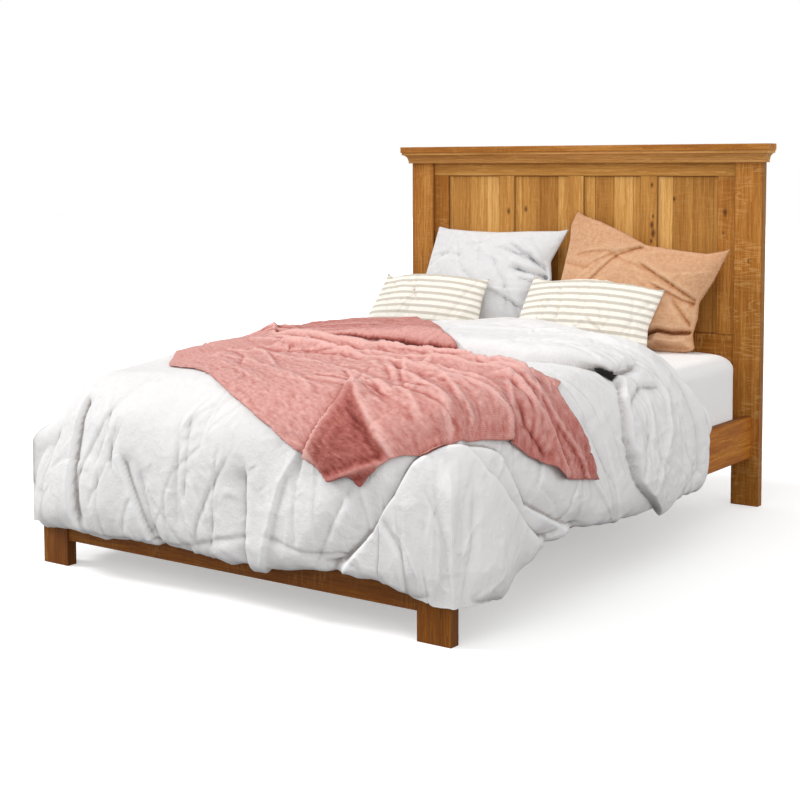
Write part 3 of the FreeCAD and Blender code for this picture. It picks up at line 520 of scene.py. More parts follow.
def linen(name, pit, deep, low, high, crinkle=1.0, weave=1.0, mottle=1.0, yarn=YARN, pattern=None):
    """Washed plain weave. low and high are the shades of its yarns, deep the painted shade in the bottom of creases and
    pit in the tightest folds; crinkle and weave how much of each relief, mottle how much the yarns differ in shade."""
    material, shader = new_material(name)
    flat = node(material, "ShaderNodeAttribute", {"attribute_name": "cloth"}).outputs["Vector"]
    hollow = node(material, "ShaderNodeAttribute", {"attribute_name": "hollow"}).outputs["Fac"]
    space = node(material, "ShaderNodeTexCoord").outputs["Object"]
    warp, weft = (node(material, "ShaderNodeTexWave", {"bands_direction": way}, Vector=flat,
                       Scale=wave_scale(2 * yarn), Distortion=1.6, Detail=2.0, Detail_Scale=1.0) for way in "XY")
    threads = node(material, "ShaderNodeMath", {"operation": "MULTIPLY"}, in0=warp.outputs["Fac"],
                   in1=weft.outputs["Fac"]).outputs[0]
    crosswise = node(material, "ShaderNodeVectorMath", {"operation": "MULTIPLY"}, in0=space, in1=(0.5, 1.0, 1.0))
    slubs = node(material, "ShaderNodeTexNoise", Vector=crosswise.outputs[0], Scale=1 / SLUB, Detail=4.0,
                 Roughness=0.7, Distortion=0.4).outputs["Fac"]
    creases = node(material, "ShaderNodeTexNoise", {"noise_type": "RIDGED_MULTIFRACTAL", "normalize": True},
                   Vector=space, Scale=1 / CREASE, Detail=3.0, Roughness=0.55, Distortion=0.6).outputs["Fac"]
    rumples = node(material, "ShaderNodeTexNoise", Vector=space, Scale=1 / RUMPLE, Detail=3.0, Roughness=0.6,
                   Distortion=0.9).outputs["Fac"]
    shade = 0.65 - 0.56 * mottle
    # hollow paints shade into the colour: darker in creases, paler on crests
    for source, share in ((threads, 0.25 * mottle), (slubs, 0.6 * mottle), (rumples, 0.4 * mottle), (hollow, -0.42)):
        shade = node(material, "ShaderNodeMath", {"operation": "MULTIPLY_ADD"}, in0=source, in1=share,
                     in2=shade).outputs[0]
    surface = node(material, "ShaderNodeValToRGB",
                   {"stops": ((0.0, pit), (0.15, deep), (0.42, low), (0.90, high))}, in0=shade).outputs["Color"]
    if pattern is not None:
        surface = pattern(material, flat, surface)
    relief = None
    for height, distance in ((creases, 7.0 * crinkle), (rumples, 3.2 * crinkle), (slubs, 1.2 * weave),
                             (threads, 0.6 * weave)):
        relief = node(material, "ShaderNodeBump", Strength=1.0, Distance=distance * MM, Height=height,
                      **({"Normal": relief.outputs[0]} if relief else {}))
    material.node_tree.links.new(surface, shader.inputs["Base Color"])
    material.node_tree.links.new(relief.outputs[0], shader.inputs["Normal"])
    for socket, value in (("Roughness", 0.88), ("Specular IOR Level", 0.2), ("Sheen Weight", 0.08),
                          ("Sheen Roughness", 0.5)):
        shader.inputs[socket].default_value = value
    return material


# %% the plain cloths
# Heavy washed linen of the duvet cover: soft even white whose yarns hardly show, with long rumples.
# its near-black pit shade is painted shade in the pocket beside the turned-back end
duvet_linen = linen("washed_linen_white", "#1f1d1c", "#aaa5a2", "#d9d7d6", "#e8e7e7", crinkle=0.7, weave=0.22,
                    mottle=0.35)
# Percale is fine hard-spun cotton: the smoothest and whitest cloth here, pulled flat over the mattress.
sheet_cotton = linen("percale_cotton_white", "#9a9694", "#cfccca", "#e8e6e5", "#f1f0ef", crinkle=0.25, weave=0.3,
                     mottle=0.5, yarn=1.6 * MM)
# Ticking is stiff and close-woven, so it is an even cream with almost no creases.
ticking = linen("mattress_ticking", "#8f8a82", "#c9c4bb", "#d8d4cc", "#e6e3dc", crinkle=0.1)
# The throw is coral, dyed in the piece and stone-washed; painted shade darkens its creases and lightens its crests.
throw_linen = linen("washed_linen_coral", "#58211b", "#7d352d", "#b1685f", "#e4b4ac", crinkle=1.2, weave=0.35,
                    mottle=0.5)
# Thin pale grey linen: thick and thin yarns show as a soft streakiness, and the case wrinkles easily.
grey_linen = linen("washed_linen_pale_grey", "#66666b", "#97989c", "#cfcfd0", "#dcdcdc", crinkle=0.9, weave=0.6)
# Melange: peach and pale yarns twisted together before weaving, which gives a grainy, open face.
peach_linen = linen("melange_linen_peach", "#5f3413", "#8d5526", "#ba845b", "#d8af8c", crinkle=0.7, weave=1.2)
print("plain cloths:", [m.name for m in (duvet_linen, sheet_cotton, ticking, throw_linen, grey_linen, peach_linen)])

# %% [markdown]
# The small pillows are woven with soft grey-beige stripes on cream, about 28 mm apart, each a blurred band, because
# the dyed yarns are thick and thin. A printed picture would do; a stripe is simpler as a sine of the cloth's own
# coordinate with a little noise on its edges.

# %% striped cotton
STRIPES_APART = 28 * MM


def stripes(material, flat, ground_colour):
    """Grey-beige bands along the cloth, mixed over its cream ground."""
    axes = node(material, "ShaderNodeSeparateXYZ", in0=flat)
    wobble = node(material, "ShaderNodeTexNoise", Vector=flat, Scale=1 / (14 * MM), Detail=3.0)
    line = node(material, "ShaderNodeMath", {"operation": "MULTIPLY_ADD"}, in0=wobble.outputs["Fac"], in1=3 * MM,
                in2=axes.outputs["Y"])
    phase = node(material, "ShaderNodeMath", {"operation": "MULTIPLY"}, in0=line.outputs[0],
                 in1=2 * math.pi / STRIPES_APART)
    wave = node(material, "ShaderNodeMath", {"operation": "SINE"}, in0=phase.outputs[0])
    band = node(material, "ShaderNodeMapRange", {"interpolation_type": "SMOOTHSTEP"}, Value=wave.outputs[0],
                From_Min=-0.15, From_Max=0.65, To_Min=0.0, To_Max=0.8)
    return node(material, "ShaderNodeMix", {"data_type": "RGBA"}, Factor=band.outputs[0], in6=ground_colour,
                in7=colour("#b8b0a2")).outputs[2]


# Yarn-dyed cotton: the stripe is in the weave and not on it, so its edges are as uneven as the yarns.
stripe_cotton = linen("striped_cotton", "#857d6f", "#c4bdaf", "#e4dfd4", "#f0ece3", crinkle=0.6, weave=0.6,
                      pattern=stripes)
print("stripes of", stripe_cotton.name, "every", round(STRIPES_APART / MM), "mm")

# %% [markdown]
# ## Making cloth meshes
#
# A piece of cloth is a grid of points. Numpy moves all of them at once, which is quick even for a hundred thousand,
# and the same grid later tells the shader where each point lies in the flat cloth. Folds come from two kinds of
# noise: smooth for stuffing, ridged for creases. The noise here is the classic gradient kind on a seeded table, so
# every run gives the same cloth.

# %% noise
TABLE = 256
lattice = np.random.default_rng(7).uniform(0, 2 * math.pi, (TABLE, TABLE))


def noise(u, v, seed=0):
    """Smooth noise about -0.7 to 0.7, one cell per unit."""
    u, v = np.asarray(u, float) + 17.13 * seed, np.asarray(v, float) + 9.71 * seed
    iu, iv = np.floor(u).astype(int), np.floor(v).astype(int)
    fu, fv = u - iu, v - iv
    value = 0.0
    su, sv = (f * f * f * (f * (6 * f - 15) + 10) for f in (fu, fv))
    for du in (0, 1):
        for dv in (0, 1):
            angle = lattice[(iu + du) % TABLE, (iv + dv) % TABLE]
            dot = np.cos(angle) * (fu - du) + np.sin(angle) * (fv - dv)
            value = value + dot * (su if du else 1 - su) * (sv if dv else 1 - sv)
    return value


def ridges(u, v, seed=0, sharpness=2.0):
    """Noise with narrow crests, from 0 to 1."""
    return np.clip(1 - 2.2 * np.abs(noise(u, v, seed)), 0, 1) ** sharpness


print("a smooth noise from", round(float(noise(np.linspace(0, 50, 999), 0.3).min()), 2))


# %% turning, easing, softening
def turned(u, v, degrees):
    """The coordinates turned, so that u runs across folds that lie at that angle to v."""
    c, s = math.cos(math.radians(degrees)), math.sin(math.radians(degrees))
    return u * c + v * s, -u * s + v * c


def smoothstep(low, high, x):
    """Eases from 0 at low to 1 at high, and stays there."""
    t = np.clip((x - low) / (high - low), 0, 1)
    return t * t * (3 - 2 * t)


def softened(height, passes):
    """A grid of heights, each mixed with its neighbours a number of times."""
    soft = height.copy()
    for _ in range(passes):
        beside = soft[:-2, 1:-1] + soft[2:, 1:-1] + soft[1:-1, :-2] + soft[1:-1, 2:]
        soft[1:-1, 1:-1] = (soft[1:-1, 1:-1] * 2 + beside) / 6
    return soft


print("half way", float(smoothstep(0, 1, 0.5)))

# %% [markdown]
# A crease is found by comparing the cloth with a softened copy of itself: where it lies lower, it is in a hollow.
# A widely softened copy finds the valleys between folds, a narrowly softened one the sharp creases in them.


# %% hollows
def hollows(height, depth=0.007):
    """About 1 in the bottom of a crease, below 0 on a crest: how far a grid of heights lies below its soft means."""
    valleys = np.clip((softened(height, 24) - height) / depth, -0.4, 1.2)
    sharp = np.clip((softened(height, 5) - height) / (0.35 * depth), -0.6, 1.0)
    return 0.7 * valleys + 0.35 * sharp


step_down = np.where(np.arange(60)[:, None] < 30, 0.01, 0.0) * np.ones(60)
print("hollow at the foot of a 10 mm step", round(float(hollows(step_down)[30, 30]), 2))


# %% cloth as an object
def grid_faces(rows, columns):
    """Quads of a grid whose points are stored row by row."""
    index = np.arange(rows * columns).reshape(rows, columns)
    return np.stack([index[:-1, :-1], index[:-1, 1:], index[1:, 1:], index[1:, :-1]], -1).reshape(-1, 4)


def cloth_object(name, points, faces, flat, material, hollow=None):
    """A smooth-shaded mesh object from grids of points, with its flat cloth coordinates and its hollows."""
    mesh = bpy.data.meshes.new(name)
    mesh.from_pydata(points.reshape(-1, 3).tolist(), [], faces.tolist())
    store = mesh.attributes.new("cloth", "FLOAT_VECTOR", "POINT")
    store.data.foreach_set("vector", flat.astype(np.float32).ravel())
    if hollow is not None:
        mesh.attributes.new("hollow", "FLOAT", "POINT").data.foreach_set("value", hollow.astype(np.float32).ravel())
    mesh.polygons.foreach_set("use_smooth", np.ones(len(mesh.polygons), bool))
    mesh.materials.append(material)
    mesh.update()
    made = bpy.data.objects.new(name, mesh)
    bpy.context.scene.collection.objects.link(made)
    return made


print("a grid of 3 by 4 points has", len(grid_faces(3, 4)), "faces")

# %% [markdown]
# ## Duvet
#
# The duvet is one big sheet of flat cloth that lies on the bed and hangs down on three sides. Its point (p, q) in
# the flat cloth goes to a place in space: on the top it just lies there, past the edge it turns down along a section
# of soft shoulder, hanging side and rolled hem, and at the corners it fans round. Full cloth simulation of a duvet
# this size is slow and falls its own way; laying it by a rule keeps the folds where the bed in the picture has them.

# %% section of the hanging side
TOP_HALF = 0.612          # the cloth starts to turn down here, to each side
FOOT_TURN = -0.8265       # and here towards the foot
DUVET_TOP = 0.688         # height of the duvet over the bed
section_way = (0.0, 0.10, 0.22, 0.34, 0.50, 0.62, 0.68, 0.72, 0.76, 0.80, 0.90, 1.00)    # metres along the cloth
section_slope = (0, 14, 48, 76, 86, 93, 108, 150, 205, 252, 268, 270)                    # degrees below level
way = np.linspace(0, section_way[-1], 1001)
slope = np.radians(np.interp(way, section_way, section_slope))
step = way[1] - way[0]
section_out = np.concatenate([[0], np.cumsum(np.cos((slope[1:] + slope[:-1]) / 2)) * step])
section_down = np.concatenate([[0], np.cumsum(np.sin((slope[1:] + slope[:-1]) / 2)) * step])
HANG = float(way[np.argmax(section_down)])
print("hang", round(HANG, 3), "out", round(float(section_out.max()), 3), "down", round(float(section_down.max()), 3))

# %% [markdown]
# The hem isn't level: it dips and lifts as the spare cloth of the corners pulls at it. Its height over the floor is
# read off the picture at places along the girth, the way round the three hanging sides.

# %% girth and hem
CORNER = 0.28             # girth of a corner per radian
GIRTH_CORNER = TOP_HALF + CORNER * math.pi / 2
HEM_NOMINAL = 0.139       # height of the hem if nothing pulled at it
HEM_START = 0.22          # a lifted or dropped hem is felt from this far down
hem_girth = (-2.9, -2.2, -1.6, -1.05, -0.9, -0.743, -0.623, -0.479, -0.128, 0.137, 0.30, 0.476, 0.70, 0.86, 0.93, 1.05,
             1.11, 1.29, 1.43, 1.85, 2.03, 2.30, 2.9)
hem_height = (0.165, 0.17, 0.19, 0.11, 0.125, 0.132, 0.141, 0.120, 0.130, 0.112, 0.135, 0.164, 0.144, 0.120, 0.111,
              0.100, 0.140, 0.188, 0.210, 0.170, 0.169, 0.165, 0.165)


def girth(p, q):
    """Place along the hanging sides: 0 at the middle of the foot, + round the right corner, - round the left."""
    side, foot = np.abs(p) - TOP_HALF, -q
    turn = np.arctan2(np.maximum(foot, 0), np.maximum(side, 1e-9))
    corner = TOP_HALF + CORNER * (math.pi / 2 - turn)
    place = np.where(side <= 0, np.abs(p), np.where(foot <= 0, GIRTH_CORNER + q, corner))
    return np.sign(p) * place


print("hem lowest", min(hem_height), "highest", max(hem_height), "over the floor")

# %% laying the duvet
CROWN = 0.012             # the duvet is this much higher along the middle of the bed
FOOT_SUNK = 0.034         # at the left its foot end lies this much lower than the rest
FOOT_SUNK_LESS = 0.020    # at the right by so much less
DENT = 0.022              # a shallow dent over the far left corner
# The far left corner is drawn in at its shoulder and flares at its hem: metres outward at metres down.
left_flare_down = (0, 0.05, 0.2, 0.35, 0.5, 0.56)
left_flare_out = (0, -0.045, -0.026, 0.02, 0.048, 0.048)


def lay(p, q):
    """Where the flat point (p, q) lies before any folds."""
    side, foot = np.abs(p) - TOP_HALF, -q
    over_side, over_foot = np.maximum(side, 0), np.maximum(foot, 0)
    drop = np.hypot(over_side, over_foot)
    turn = np.arctan2(over_foot, np.maximum(over_side, 1e-12))
    out = np.interp(drop, way, section_out)
    down = np.interp(drop, way, section_down)
    left_corner = np.exp(-((girth(p, q) + GIRTH_CORNER / 2 + 0.31) / 0.26) ** 2)
    out = out + left_corner * np.interp(down, left_flare_down, left_flare_out)
    low = np.clip((down - HEM_START) / (section_down.max() - HEM_START), 0, None)
    down = down + low * (HEM_NOMINAL - np.interp(girth(p, q), hem_girth, hem_height))
    x = np.sign(p) * (np.minimum(np.abs(p), TOP_HALF) + out * np.cos(turn))
    y = FOOT_TURN + np.maximum(q, 0) - out * np.sin(turn)
    crown = CROWN * (1 - np.clip(np.abs(p) / TOP_HALF, 0, 1) ** 2)
    sunk = smoothstep(0.65, -0.05, q) * (FOOT_SUNK - FOOT_SUNK_LESS * smoothstep(-0.4, 0.5, p))
    sunk = sunk + DENT * np.exp(-((p + 0.62) / 0.20) ** 2 - ((q - 0.02) / 0.24) ** 2)
    return np.stack([x, y, DUVET_TOP + crown - down - sunk * np.clip(1 - down / 0.5, 0, 1)], -1)


def normal_of(place, p, q, reach=0.005):
    """Unit normals of a laid surface at flat points, outward."""
    across = place(p + reach, q) - place(p - reach, q)
    along = place(p, q + reach) - place(p, q - reach)
    normal = np.cross(across, along)
    return normal / np.maximum(np.linalg.norm(normal, axis=-1, keepdims=True), 1e-12)


print("the middle of the foot edge lies at", lay(np.array(0.0), np.array(0.0)).round(3))

# %% [markdown]
# Pleats are where the real duvet is told from a blown-up box. Each is a line in the flat cloth, with a height, and
# a half width on either side of it: a narrow one makes the steep side of a fold and a wide one the gentle side. A
# line is measured by its distance from every point of the cloth, and dies away past its ends.


# %% measuring from a fold line
def away_from(p, q, line):
    """Signed distance from a line of flat points, positive on its left, and how far past its ends."""
    best = np.full(np.shape(p), 1e9)
    signed, past = np.zeros(np.shape(p)), np.zeros(np.shape(p))
    line = np.array(line, float)
    lengths = np.linalg.norm(np.diff(line, axis=0), axis=1)
    for number, (a, b) in enumerate(zip(line[:-1], line[1:])):
        way_u, way_v = (b - a) / lengths[number]
        along = (p - a[0]) * way_u + (q - a[1]) * way_v
        inside = np.clip(along, 0, lengths[number])
        distance = np.hypot(p - a[0] - inside * way_u, q - a[1] - inside * way_v)
        nearer = distance < best
        best = np.where(nearer, distance, best)
        signed = np.where(nearer, way_u * (q - a[1]) - way_v * (p - a[0]), signed)
        before = np.maximum(-along, 0) if number == 0 else 0
        after = np.maximum(along - lengths[number], 0) if number == len(lengths) - 1 else 0
        past = np.where(nearer, before + after, past)
    return signed, past


FADE = 0.035              # a fold dies away over this much past its ends


def folds(p, q, lines):
    """Height added by folds: (points, height, width on the left, width on the right). A minus height is a valley."""
    p, q = np.broadcast_arrays(p, q)
    total = np.zeros(p.shape)
    for points, height, left, right in lines:
        reach = max(left, right) + 0.08
        (p_low, q_low), (p_high, q_high) = np.min(points, axis=0) - reach, np.max(points, axis=0) + reach
        near = (p > p_low) & (p < p_high) & (q > q_low) & (q < q_high)
        if not near.any():
            continue
        signed, past = away_from(p[near], q[near], points)
        share = np.clip(1 - np.abs(signed) / np.where(signed > 0, left, right), 0, 1)
        total[near] += height * share ** 1.6 * np.exp(-(past / FADE) ** 2)
    return total


one_fold = folds(np.zeros(3), np.array([-0.02, 0.0, 0.02]), ((((-0.1, 0), (0.1, 0)), 0.01, 0.03, 0.05),))
print("a 10 mm fold, at it and 20 mm to each side:", one_fold.round(4))


# %% small scattered creases
def scattered(seed, count, box, degrees, spread, length, height, width):
    """Small slightly bent creases in a box of the flat cloth: (p low, q low, p high, q high)."""
    rng = np.random.default_rng(seed)
    made = []
    for _ in range(count):
        middle = rng.uniform(box[:2], box[2:])
        angle = math.radians(degrees + rng.normal(0, spread))
        half = 0.5 * length * rng.uniform(0.4, 1.3)
        way_along = np.array([math.cos(angle), math.sin(angle)])
        way_across = np.array([-math.sin(angle), math.cos(angle)])
        bend = rng.normal(0, 0.12)
        points = [tuple(middle + half * t * way_along + half * bend * (1 - t * t) * way_across)
                  for t in (-1, -0.4, 0.3, 1)]
        steep, gentle = width * rng.uniform(0.35, 0.8), width * rng.uniform(1.0, 2.2)
        sides = (steep, gentle) if rng.random() < 0.5 else (gentle, steep)
        made.append((tuple(points), height * rng.uniform(0.4, 1.2) * (-1 if rng.random() < 0.65 else 1), *sides))
    return tuple(made)


print("two of them:", [len(crease[0]) for crease in scattered(1, 2, (0, 0, 1, 1), 0, 10, 0.2, 0.006, 0.014)], "points")

# %% [markdown]
# The duvet's own folds, as read off the picture in flat metres. The largest make a cone of spare cloth at the near
# corner. Small creases are scattered between them, in the direction in which the cloth is pulled there.

# %% folds of the duvet
duvet_folds = (
    # the cone of spare cloth at the near corner, over the cloth on both sides of it
    (((0.82, -0.17), (0.742, -0.296), (0.706, -0.41), (0.586, -0.56), (0.472, -0.71)), -0.046, 0.018, 0.15),
    (((0.83, -0.16), (0.862, -0.128), (0.958, -0.092), (1.066, 0.022), (1.186, 0.124), (1.318, 0.244)),
     -0.044, 0.15, 0.016),
    (((0.87, -0.09), (0.928, 0.016), (1.12, 0.136), (1.324, 0.394)), -0.030, 0.13, 0.018),
    (((0.844, -0.284), (0.90, -0.37), (0.958, -0.458)), -0.004, 0.03, 0.02),
    (((0.70, -0.52), (0.80, -0.56), (0.86, -0.66)), -0.010, 0.05, 0.03),
    (((1.00, -0.22), (1.10, -0.30), (1.16, -0.42)), -0.008, 0.06, 0.03),
    # along the foot
    (((-0.632, -0.25), (-0.608, -0.38), (-0.59, -0.506), (-0.572, -0.64)), -0.030, 0.10, 0.016),
    (((-0.362, -0.46), (-0.302, -0.584), (-0.254, -0.72)), -0.020, 0.09, 0.012),
    (((-0.29, -0.50), (-0.236, -0.71)), -0.010, 0.05, 0.03),
    (((-0.10, -0.30), (-0.14, -0.45), (-0.13, -0.60)), -0.008, 0.09, 0.04),
    (((0.136, -0.46), (0.142, -0.578), (0.142, -0.73)), -0.024, 0.012, 0.09),
    (((0.33, -0.36), (0.28, -0.446), (0.25, -0.56), (0.202, -0.72)), 0.012, 0.016, 0.07),
    (((0.514, -0.452), (0.472, -0.542), (0.406, -0.68)), -0.012, 0.03, 0.07),
    (((0.02, -0.16), (-0.06, -0.30), (-0.08, -0.44)), -0.007, 0.10, 0.05),
    (((-0.42, -0.10), (-0.46, -0.26), (-0.50, -0.42)), -0.009, 0.12, 0.06),
    # the far left corner and the left side
    (((-0.70, -0.10), (-0.86, -0.24), (-1.00, -0.38)), -0.024, 0.06, 0.12),
    (((-0.78, -0.36), (-0.86, -0.52), (-0.90, -0.64)), -0.020, 0.04, 0.09),
    (((-0.98, 0.10), (-1.16, 0.14), (-1.33, 0.16)), -0.024, 0.03, 0.12),
    (((-0.96, 0.52), (-1.14, 0.50), (-1.33, 0.53)), -0.022, 0.12, 0.035),
    # right side, below the throw and beyond the turned-back flap
    (((0.94, 0.50), (1.108, 0.574), (1.30, 0.64)), -0.014, 0.08, 0.05),
    (((0.814, 1.17), (0.946, 1.19), (1.06, 1.225), (1.216, 1.235), (1.27, 1.17)), -0.016, 0.04, 0.02),
    (((0.886, 1.246), (1.0, 1.294), (1.12, 1.33), (1.276, 1.33)), -0.014, 0.04, 0.02),
    # stitched edge of the cover, near the hem
    (((-0.10, -0.69), (-0.05, -0.674), (0.028, -0.644), (0.135, -0.614)), -0.006, 0.012, 0.03),
    (((0.262, -0.614), (0.334, -0.638), (0.40, -0.656), (0.484, -0.662)), -0.006, 0.012, 0.03),
    (((-0.50, -0.700), (-0.30, -0.712), (-0.16, -0.705)), -0.006, 0.012, 0.03),
    *scattered(11, 34, (-0.60, -0.70, 0.66, -0.12), 80, 22, 0.22, 0.006, 0.014),
    *scattered(12, 26, (-0.62, -0.12, 0.60, 0.50), 35, 32, 0.20, 0.005, 0.016),
    *scattered(13, 30, (0.66, 0.05, 1.30, 1.20), 14, 18, 0.26, 0.007, 0.015),
    *scattered(14, 12, (0.76, -0.62, 1.10, -0.20), -45, 30, 0.12, 0.004, 0.012),
    *scattered(15, 22, (-1.30, -0.10, -0.66, 1.20), 168, 18, 0.28, 0.007, 0.016),
    *scattered(16, 10, (-1.10, -0.62, -0.66, -0.10), 220, 22, 0.20, 0.004, 0.016),
)
print("duvet folds:", len(duvet_folds))


# %% the duvet's swell
def crinkles(p, q, seed, amount=1.0):
    """The fine creases that washing leaves all over."""
    bent_p = p + 0.012 * noise(p / 0.07, q / 0.07, seed)
    bent_q = q + 0.012 * noise(p / 0.07, q / 0.07, seed + 1)
    u, v = turned(bent_p, bent_q, 25)
    broad = -np.abs(noise(u / 0.075, v / 0.13, seed + 2)) * 0.0055
    middle = -np.abs(noise(u / 0.032, v / 0.055, seed + 3)) * 0.0030
    fine = noise(u / 0.014, v / 0.019, seed + 4) * 0.0007
    patchy = 0.5 + smoothstep(-0.25, 0.35, noise(p / 0.2, q / 0.2, seed + 5))
    return amount * patchy * (broad + middle + fine)


def duvet_swell(p, q):
    """How far the duvet stands out from where it was laid: stuffing, long soft folds and creases."""
    drop = np.hypot(np.maximum(np.abs(p) - TOP_HALF, 0), np.maximum(-q, 0))
    hanging = smoothstep(0.05, 0.30, drop)
    g = girth(p, q)
    swell = 0.012 * noise(p / 0.30, q / 0.26, 3) + 0.006 * noise(p / 0.14, q / 0.17, 4)
    lean_g, lean_d = turned(g, drop, 12)
    swell += hanging * (0.010 * noise(lean_g / 0.20, lean_d / 0.6, 5)
                        - 0.010 * np.abs(noise(lean_g / 0.26, lean_d / 0.8, 6)))
    swell += folds(p, q, duvet_folds) + crinkles(p, q, 40, 0.7)
    # the corner cone puffs out between its two edges
    swell += 0.014 * np.exp(-((g - 0.86) / 0.17) ** 2) * smoothstep(0.18, 0.45, drop)
    # the hem is ragged, since stuffing doesn't reach into it
    ragged = smoothstep(0.60, 0.74, drop)
    swell += ragged * (0.010 * noise(g / 0.12, drop / 0.14, 12) - 0.010 * np.abs(noise(g / 0.09, drop / 0.08, 13)))
    return swell


print("swell over the middle", duvet_swell(np.linspace(-0.5, 0.5, 5), np.full(5, 0.3)).round(3))


# %% drawn outlines and rounded edges
def smooth_line(points, at):
    """A smooth curve through points, as in a table, at many places."""
    u, v = (np.array(c, float) for c in zip(*points))
    fine = np.linspace(u[0], u[-1], 400)
    rough = np.interp(fine, u, v)
    kernel = np.hanning(19)
    padded = np.concatenate([np.full(9, rough[0]), rough, np.full(9, rough[-1])])
    return np.interp(at, fine, np.convolve(padded, kernel / kernel.sum(), "valid"))


def rolled(distance, depth, radius):
    """Drop of a rounded edge, the whole depth at the edge itself."""
    share = 1 - np.clip(distance / radius, 0, 1)
    return depth * (1 - np.sqrt(np.clip(1 - share ** 2, 0, 1)))


print("a 50 mm edge of radius 50 mm has dropped", rolled(np.array([0, 0.025, 0.05]), 0.05, 0.05).round(3))

# %% [markdown]
# The grid itself: straight rows and columns over the top, and at the corners the square of the grid is bent into a
# quarter disc, so that the hem keeps its length. Past the hem the cloth goes round and a little way up inside.

# %% grid of the duvet cover
head_line = ((-1.62, 1.34), (-1.16, 1.35), (-1.05, 1.38), (-0.87, 1.30), (-0.6, 1.42), (0.0, 1.49), (0.263, 1.42),
             (0.579, 1.38), (0.739, 1.27), (0.868, 1.25), (1.048, 1.385), (1.16, 1.35), (1.33, 1.336), (1.62, 1.336))
HEAD_LENGTH = 1.45        # about how far the cloth reaches up the bed
pitch = 0.0065
cover_reach = TOP_HALF + section_way[-1]
cover_columns = np.linspace(-cover_reach, cover_reach, round(2 * cover_reach / pitch))
foot_rows = np.linspace(-section_way[-1], 0, round(section_way[-1] / pitch), endpoint=False)
head_rows = np.linspace(0, 1, round(HEAD_LENGTH / pitch))
cover_p, shares = np.meshgrid(cover_columns, np.concatenate([foot_rows, head_rows]))
head_end = smooth_line(head_line, cover_p)
is_foot = np.arange(shares.shape[0])[:, None] < len(foot_rows)
cover_q = np.where(is_foot, shares, shares * head_end)
side, foot = np.abs(cover_p) - TOP_HALF, -cover_q
corner = (side > 0) & (foot > 0)
longer, shorter = np.maximum(side, foot), np.minimum(side, foot)
swing = math.pi / 4 * shorter / np.maximum(longer, 1e-9)
swing = np.where(side >= foot, swing, math.pi / 2 - swing)
cover_p = np.where(corner, np.sign(cover_p) * (TOP_HALF + longer * np.cos(swing)), cover_p)
cover_q = np.where(corner, -longer * np.sin(swing), cover_q)
print("duvet grid", cover_p.shape)

# %% cover, swelled
cover_drop = np.hypot(np.maximum(np.abs(cover_p) - TOP_HALF, 0), np.maximum(-cover_q, 0))
outside = smoothstep(HANG + 0.10, HANG, cover_drop)      # 0 on the lining, which lies flat behind the hem
swell = duvet_swell(cover_p, cover_q) * outside
head_thick = 0.09 - 0.03 * smoothstep(0.1, 0.4, cover_drop)
swell -= rolled(head_end - cover_q, head_thick, head_thick)
cover_points = lay(cover_p, cover_q) + normal_of(lay, cover_p, cover_q) * swell[..., None]
print("swell from", round(float(swell.min()), 3), "to", round(float(swell.max()), 3))

# %% [markdown]
# The corners hang outside the posts of the foot end, and the lining goes between. Whatever would cut through a post
# is pushed straight outward from the bed until it clears it.

# %% round the foot legs
CLEAR, CLEAR_OUTSIDE = 0.006, 0.016      # room between post and lining, and more for the outer face
leg_low, leg_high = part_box("foot_leg_right")
leg_x, leg_y, leg_top = leg_high.x - TOP_HALF, FOOT_TURN - leg_low.y, leg_high.z
out_x, out_y = np.abs(cover_points[..., 0]) - TOP_HALF, FOOT_TURN - cover_points[..., 1]
reach = np.maximum(np.hypot(out_x, out_y), 1e-6)
clear = CLEAR + CLEAR_OUTSIDE * outside
needed = np.minimum((leg_x + clear) / np.maximum(out_x / reach, 1e-6),
                    (leg_y + clear) / np.maximum(out_y / reach, 1e-6))
near_leg = smoothstep(leg_top + 0.16, leg_top + 0.04, cover_points[..., 2]) * (out_x > 0) * (out_y > 0)
push = 1 + near_leg * (np.maximum(needed / reach, 1) - 1)
cover_points[..., 0] += np.sign(cover_points[..., 0]) * np.where(near_leg > 0, out_x * (push - 1), 0)
cover_points[..., 1] -= np.where(near_leg > 0, out_y * (push - 1), 0)
print("pushed out by up to", round(float((reach * (push - 1)).max()), 3))

# %% [markdown]
# Where the turned-back end lies on the cover there is a deep fold, and at the near shoulder it opens into a narrow
# pocket. No light reaches its bottom, so it is given as hollow beforehand.

# %% duvet cover
near_line = ((-1.33, 0.94), (-1.19, 0.742), (-1.018, 0.69), (-0.886, 0.70), (-0.70, 0.74), (-0.30, 0.68), (0.10, 0.60),
             (0.268, 0.574), (0.394, 0.592), (0.544, 0.604), (0.664, 0.648), (0.77, 0.71), (0.81, 0.765),
             (0.832, 0.766), (0.886, 0.712), (1.018, 0.688), (1.192, 0.742), (1.318, 0.935), (1.33, 0.95))


def beside_flap(p, q):
    """Painted shade, given as hollow, in the deep fold along the near edge of the turned-back end and in its dark
    pocket.
    """
    gap = np.abs(smooth_line(near_line, p) - q)
    pocket_width = 0.010 + 0.016 * smoothstep(0.74, 0.81, p)
    pocket = smoothstep(0.70, 0.80, p) * smoothstep(0.825, 0.81, p) * np.exp(-(gap / pocket_width) ** 2)
    return 0.9 * np.exp(-(gap / 0.012) ** 2) * smoothstep(0.30, 0.80, p) + 1.5 * pocket


duvet = cloth_object("duvet_cover", cover_points, grid_faces(*cover_p.shape),
                     np.stack([cover_p, cover_q, np.zeros_like(cover_p)], -1), duvet_linen,
                     hollows(swell, 0.008) + beside_flap(cover_p, cover_q))
print("duvet from z", round(float(cover_points[..., 2].min()), 3), "to", round(float(cover_points[..., 2].max()), 3))

# %% [markdown]
# The head end is folded back over the duvet: a thick soft band across the bed that ends in a hanging flap at each
# side. Its near edge is a roll of stuffing, and at the near shoulder the roll lifts and leaves a dark pocket.

